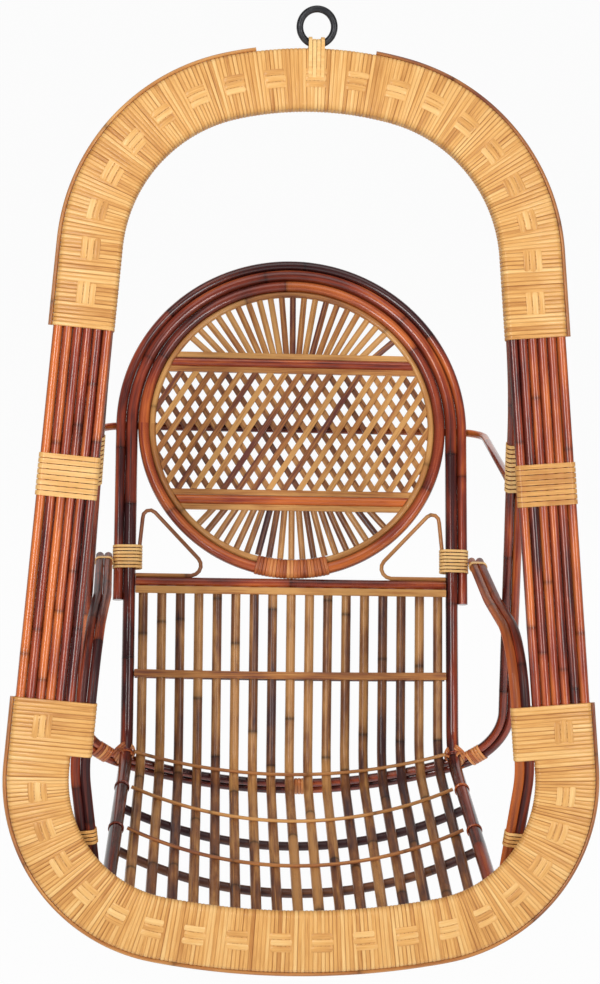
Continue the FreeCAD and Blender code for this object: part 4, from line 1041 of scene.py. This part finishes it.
def make_floor(height):
    """A pale sweep: level floor, a quarter round of radius r and a wall, drawn out to both sides.

    Along the profile y = y0 + r sin t, z = floor + r (1 - cos t).  To the camera it is near white, and
    it keeps the chair's shadow.
    """
    t = np.linspace(0, math.pi / 2, SWEEP_POINTS)
    bend = SWEEP_START + SWEEP_RADIUS * np.sin(t)
    y = np.concatenate([[-FLOOR_REACH], bend, bend[-1:]])
    z = height + np.concatenate([[0.0], SWEEP_RADIUS * (1 - np.cos(t)), [FLOOR_REACH]])
    edges = [np.stack([np.full(len(y), x), y, z], 1) for x in (-FLOOR_REACH, FLOOR_REACH)]
    first = np.arange(len(y) - 1)[:, None] * 2
    mesh = bpy.data.meshes.new("floor")
    mesh.from_pydata(np.stack(edges, 1).reshape(-1, 3), [], first + np.array([[0, 1, 3, 2]]))
    mesh.shade_smooth()
    material, tree, shader = new_material("pale_floor")
    colour = (*bpy.context.scene.swing_chair.tints.floor, 1)
    feed(tree, shader, {"Base Color": colour, "Roughness": 0.9, "Specular IOR Level": 0.1})
    ray = put(tree, "LightPath")
    seen = maths(tree, "MAXIMUM", ray.outputs["Is Camera Ray"], ray.outputs["Is Glossy Ray"])
    seen = maths(tree, "MAXIMUM", seen, ray.outputs["Is Transmission Ray"])
    glow = put(tree, "Emission", {"Color": (*WHITE, 1), "Strength": 1.0})
    blend = put(tree, "MixShader", {0: maths(tree, "MULTIPLY", seen, FLOOR_WHITE_SHARE),
                                    1: shader.outputs["BSDF"], 2: glow.outputs["Emission"]})
    tree.links.new(blend.outputs["Shader"], tree.nodes["Material Output"].inputs["Surface"])
    mesh.materials.append(material)
    floor = bpy.data.objects.new("floor", mesh)
    bpy.context.scene.collection.objects.link(floor)


def make_sky(strength):
    """Even white light from all round; the camera sees it as plain white."""
    world = bpy.data.worlds.new("studio")
    world.use_nodes = True
    tree = world.node_tree
    background = tree.nodes["Background"]
    ray = put(tree, "LightPath")
    seen = maths(tree, "MAXIMUM", ray.outputs["Is Camera Ray"], ray.outputs["Is Transmission Ray"])
    level = put(tree, "MapRange", {"Value": seen, "To Min": strength, "To Max": 1.0})
    feed(tree, background, {"Color": (*WHITE, 1), "Strength": level.outputs["Result"]})
    bpy.context.scene.world = world


def make_light(name, place, size, power, mirrored):
    """A soft rectangular light aimed at the middle of the chair; the lacquer mirrors it or doesn't."""
    light = bpy.data.lights.new(name, "AREA")
    light.shape = "RECTANGLE"
    light.size, light.size_y = size
    light.energy = power
    lamp = bpy.data.objects.new(name, light)
    middle = (CAD_BOX[0] + CAD_BOX[1]) / 2
    lamp.location = middle + Vector(place)
    lamp.visible_camera = False
    lamp.visible_glossy = mirrored
    lamp.rotation_euler = (middle - lamp.location).to_track_quat("-Z", "Y").to_euler()
    bpy.context.scene.collection.objects.link(lamp)


def make_camera(looks):
    """The photograph's camera: heading from yaw and pitch, then rolled about it."""
    camera = bpy.data.objects.new("camera", bpy.data.cameras.new("camera"))
    camera.data.lens = looks.lens
    camera.data.sensor_width = SENSOR_WIDTH
    ahead = Vector((math.sin(looks.yaw), math.cos(looks.yaw), 0))
    heading = ahead * math.cos(looks.pitch) - Vector((0, 0, math.sin(looks.pitch)))
    level = Vector((math.cos(looks.yaw), -math.sin(looks.yaw), 0))
    upright = level.cross(heading)
    right = level * math.cos(looks.roll) + upright * math.sin(looks.roll)
    up = upright * math.cos(looks.roll) - level * math.sin(looks.roll)
    turned = Matrix((right, up, -heading)).transposed().to_4x4()
    camera.matrix_world = Matrix.Translation(looks.camera_place) @ turned
    bpy.context.scene.collection.objects.link(camera)
    bpy.context.scene.camera = camera


class SwingChairPanel(bpy.types.Panel):
    """Settings and pieces of the swing chair"""
    bl_idname = "VIEW3D_PT_swing_chair"
    bl_label = "Swing chair"
    bl_space_type = "VIEW_3D"
    bl_region_type = "UI"
    bl_category = "Swing chair"

    def draw(self, context):
        settings = context.scene.swing_chair
        for group in (settings.cane, settings.wrap, settings.tints, settings.stage):
            box = self.layout.box()
            for name in group.__annotations__:
                box.prop(group, name)
        for operator in OPERATORS:
            self.layout.operator(operator.bl_idname)


GROUPS = (CaneLooks, WrapLooks, Tints, StageLooks, SwingChairSettings)
OPERATORS = (RingPiece, HoopCanes, HoopWraps, Windings, BackPieces, SeatPieces, ArmPieces, Studio)


def register():
    for cls in GROUPS + OPERATORS + (SwingChairPanel,):
        bpy.utils.register_class(cls)
    bpy.types.Scene.swing_chair = PointerProperty(type=SwingChairSettings)


def unregister():
    del bpy.types.Scene.swing_chair
    for cls in reversed(GROUPS + OPERATORS + (SwingChairPanel,)):
        bpy.utils.unregister_class(cls)


def main():
    """Register the add-on and make every piece in order."""
    register()
    bpy.ops.swing_chair.ring()
    bpy.ops.swing_chair.hoops()
    bpy.ops.swing_chair.wraps()
    bpy.ops.swing_chair.windings()
    bpy.ops.swing_chair.back()
    bpy.ops.swing_chair.seat()
    bpy.ops.swing_chair.arms()
    bpy.ops.swing_chair.studio()


if __name__ == "__main__":
    main()
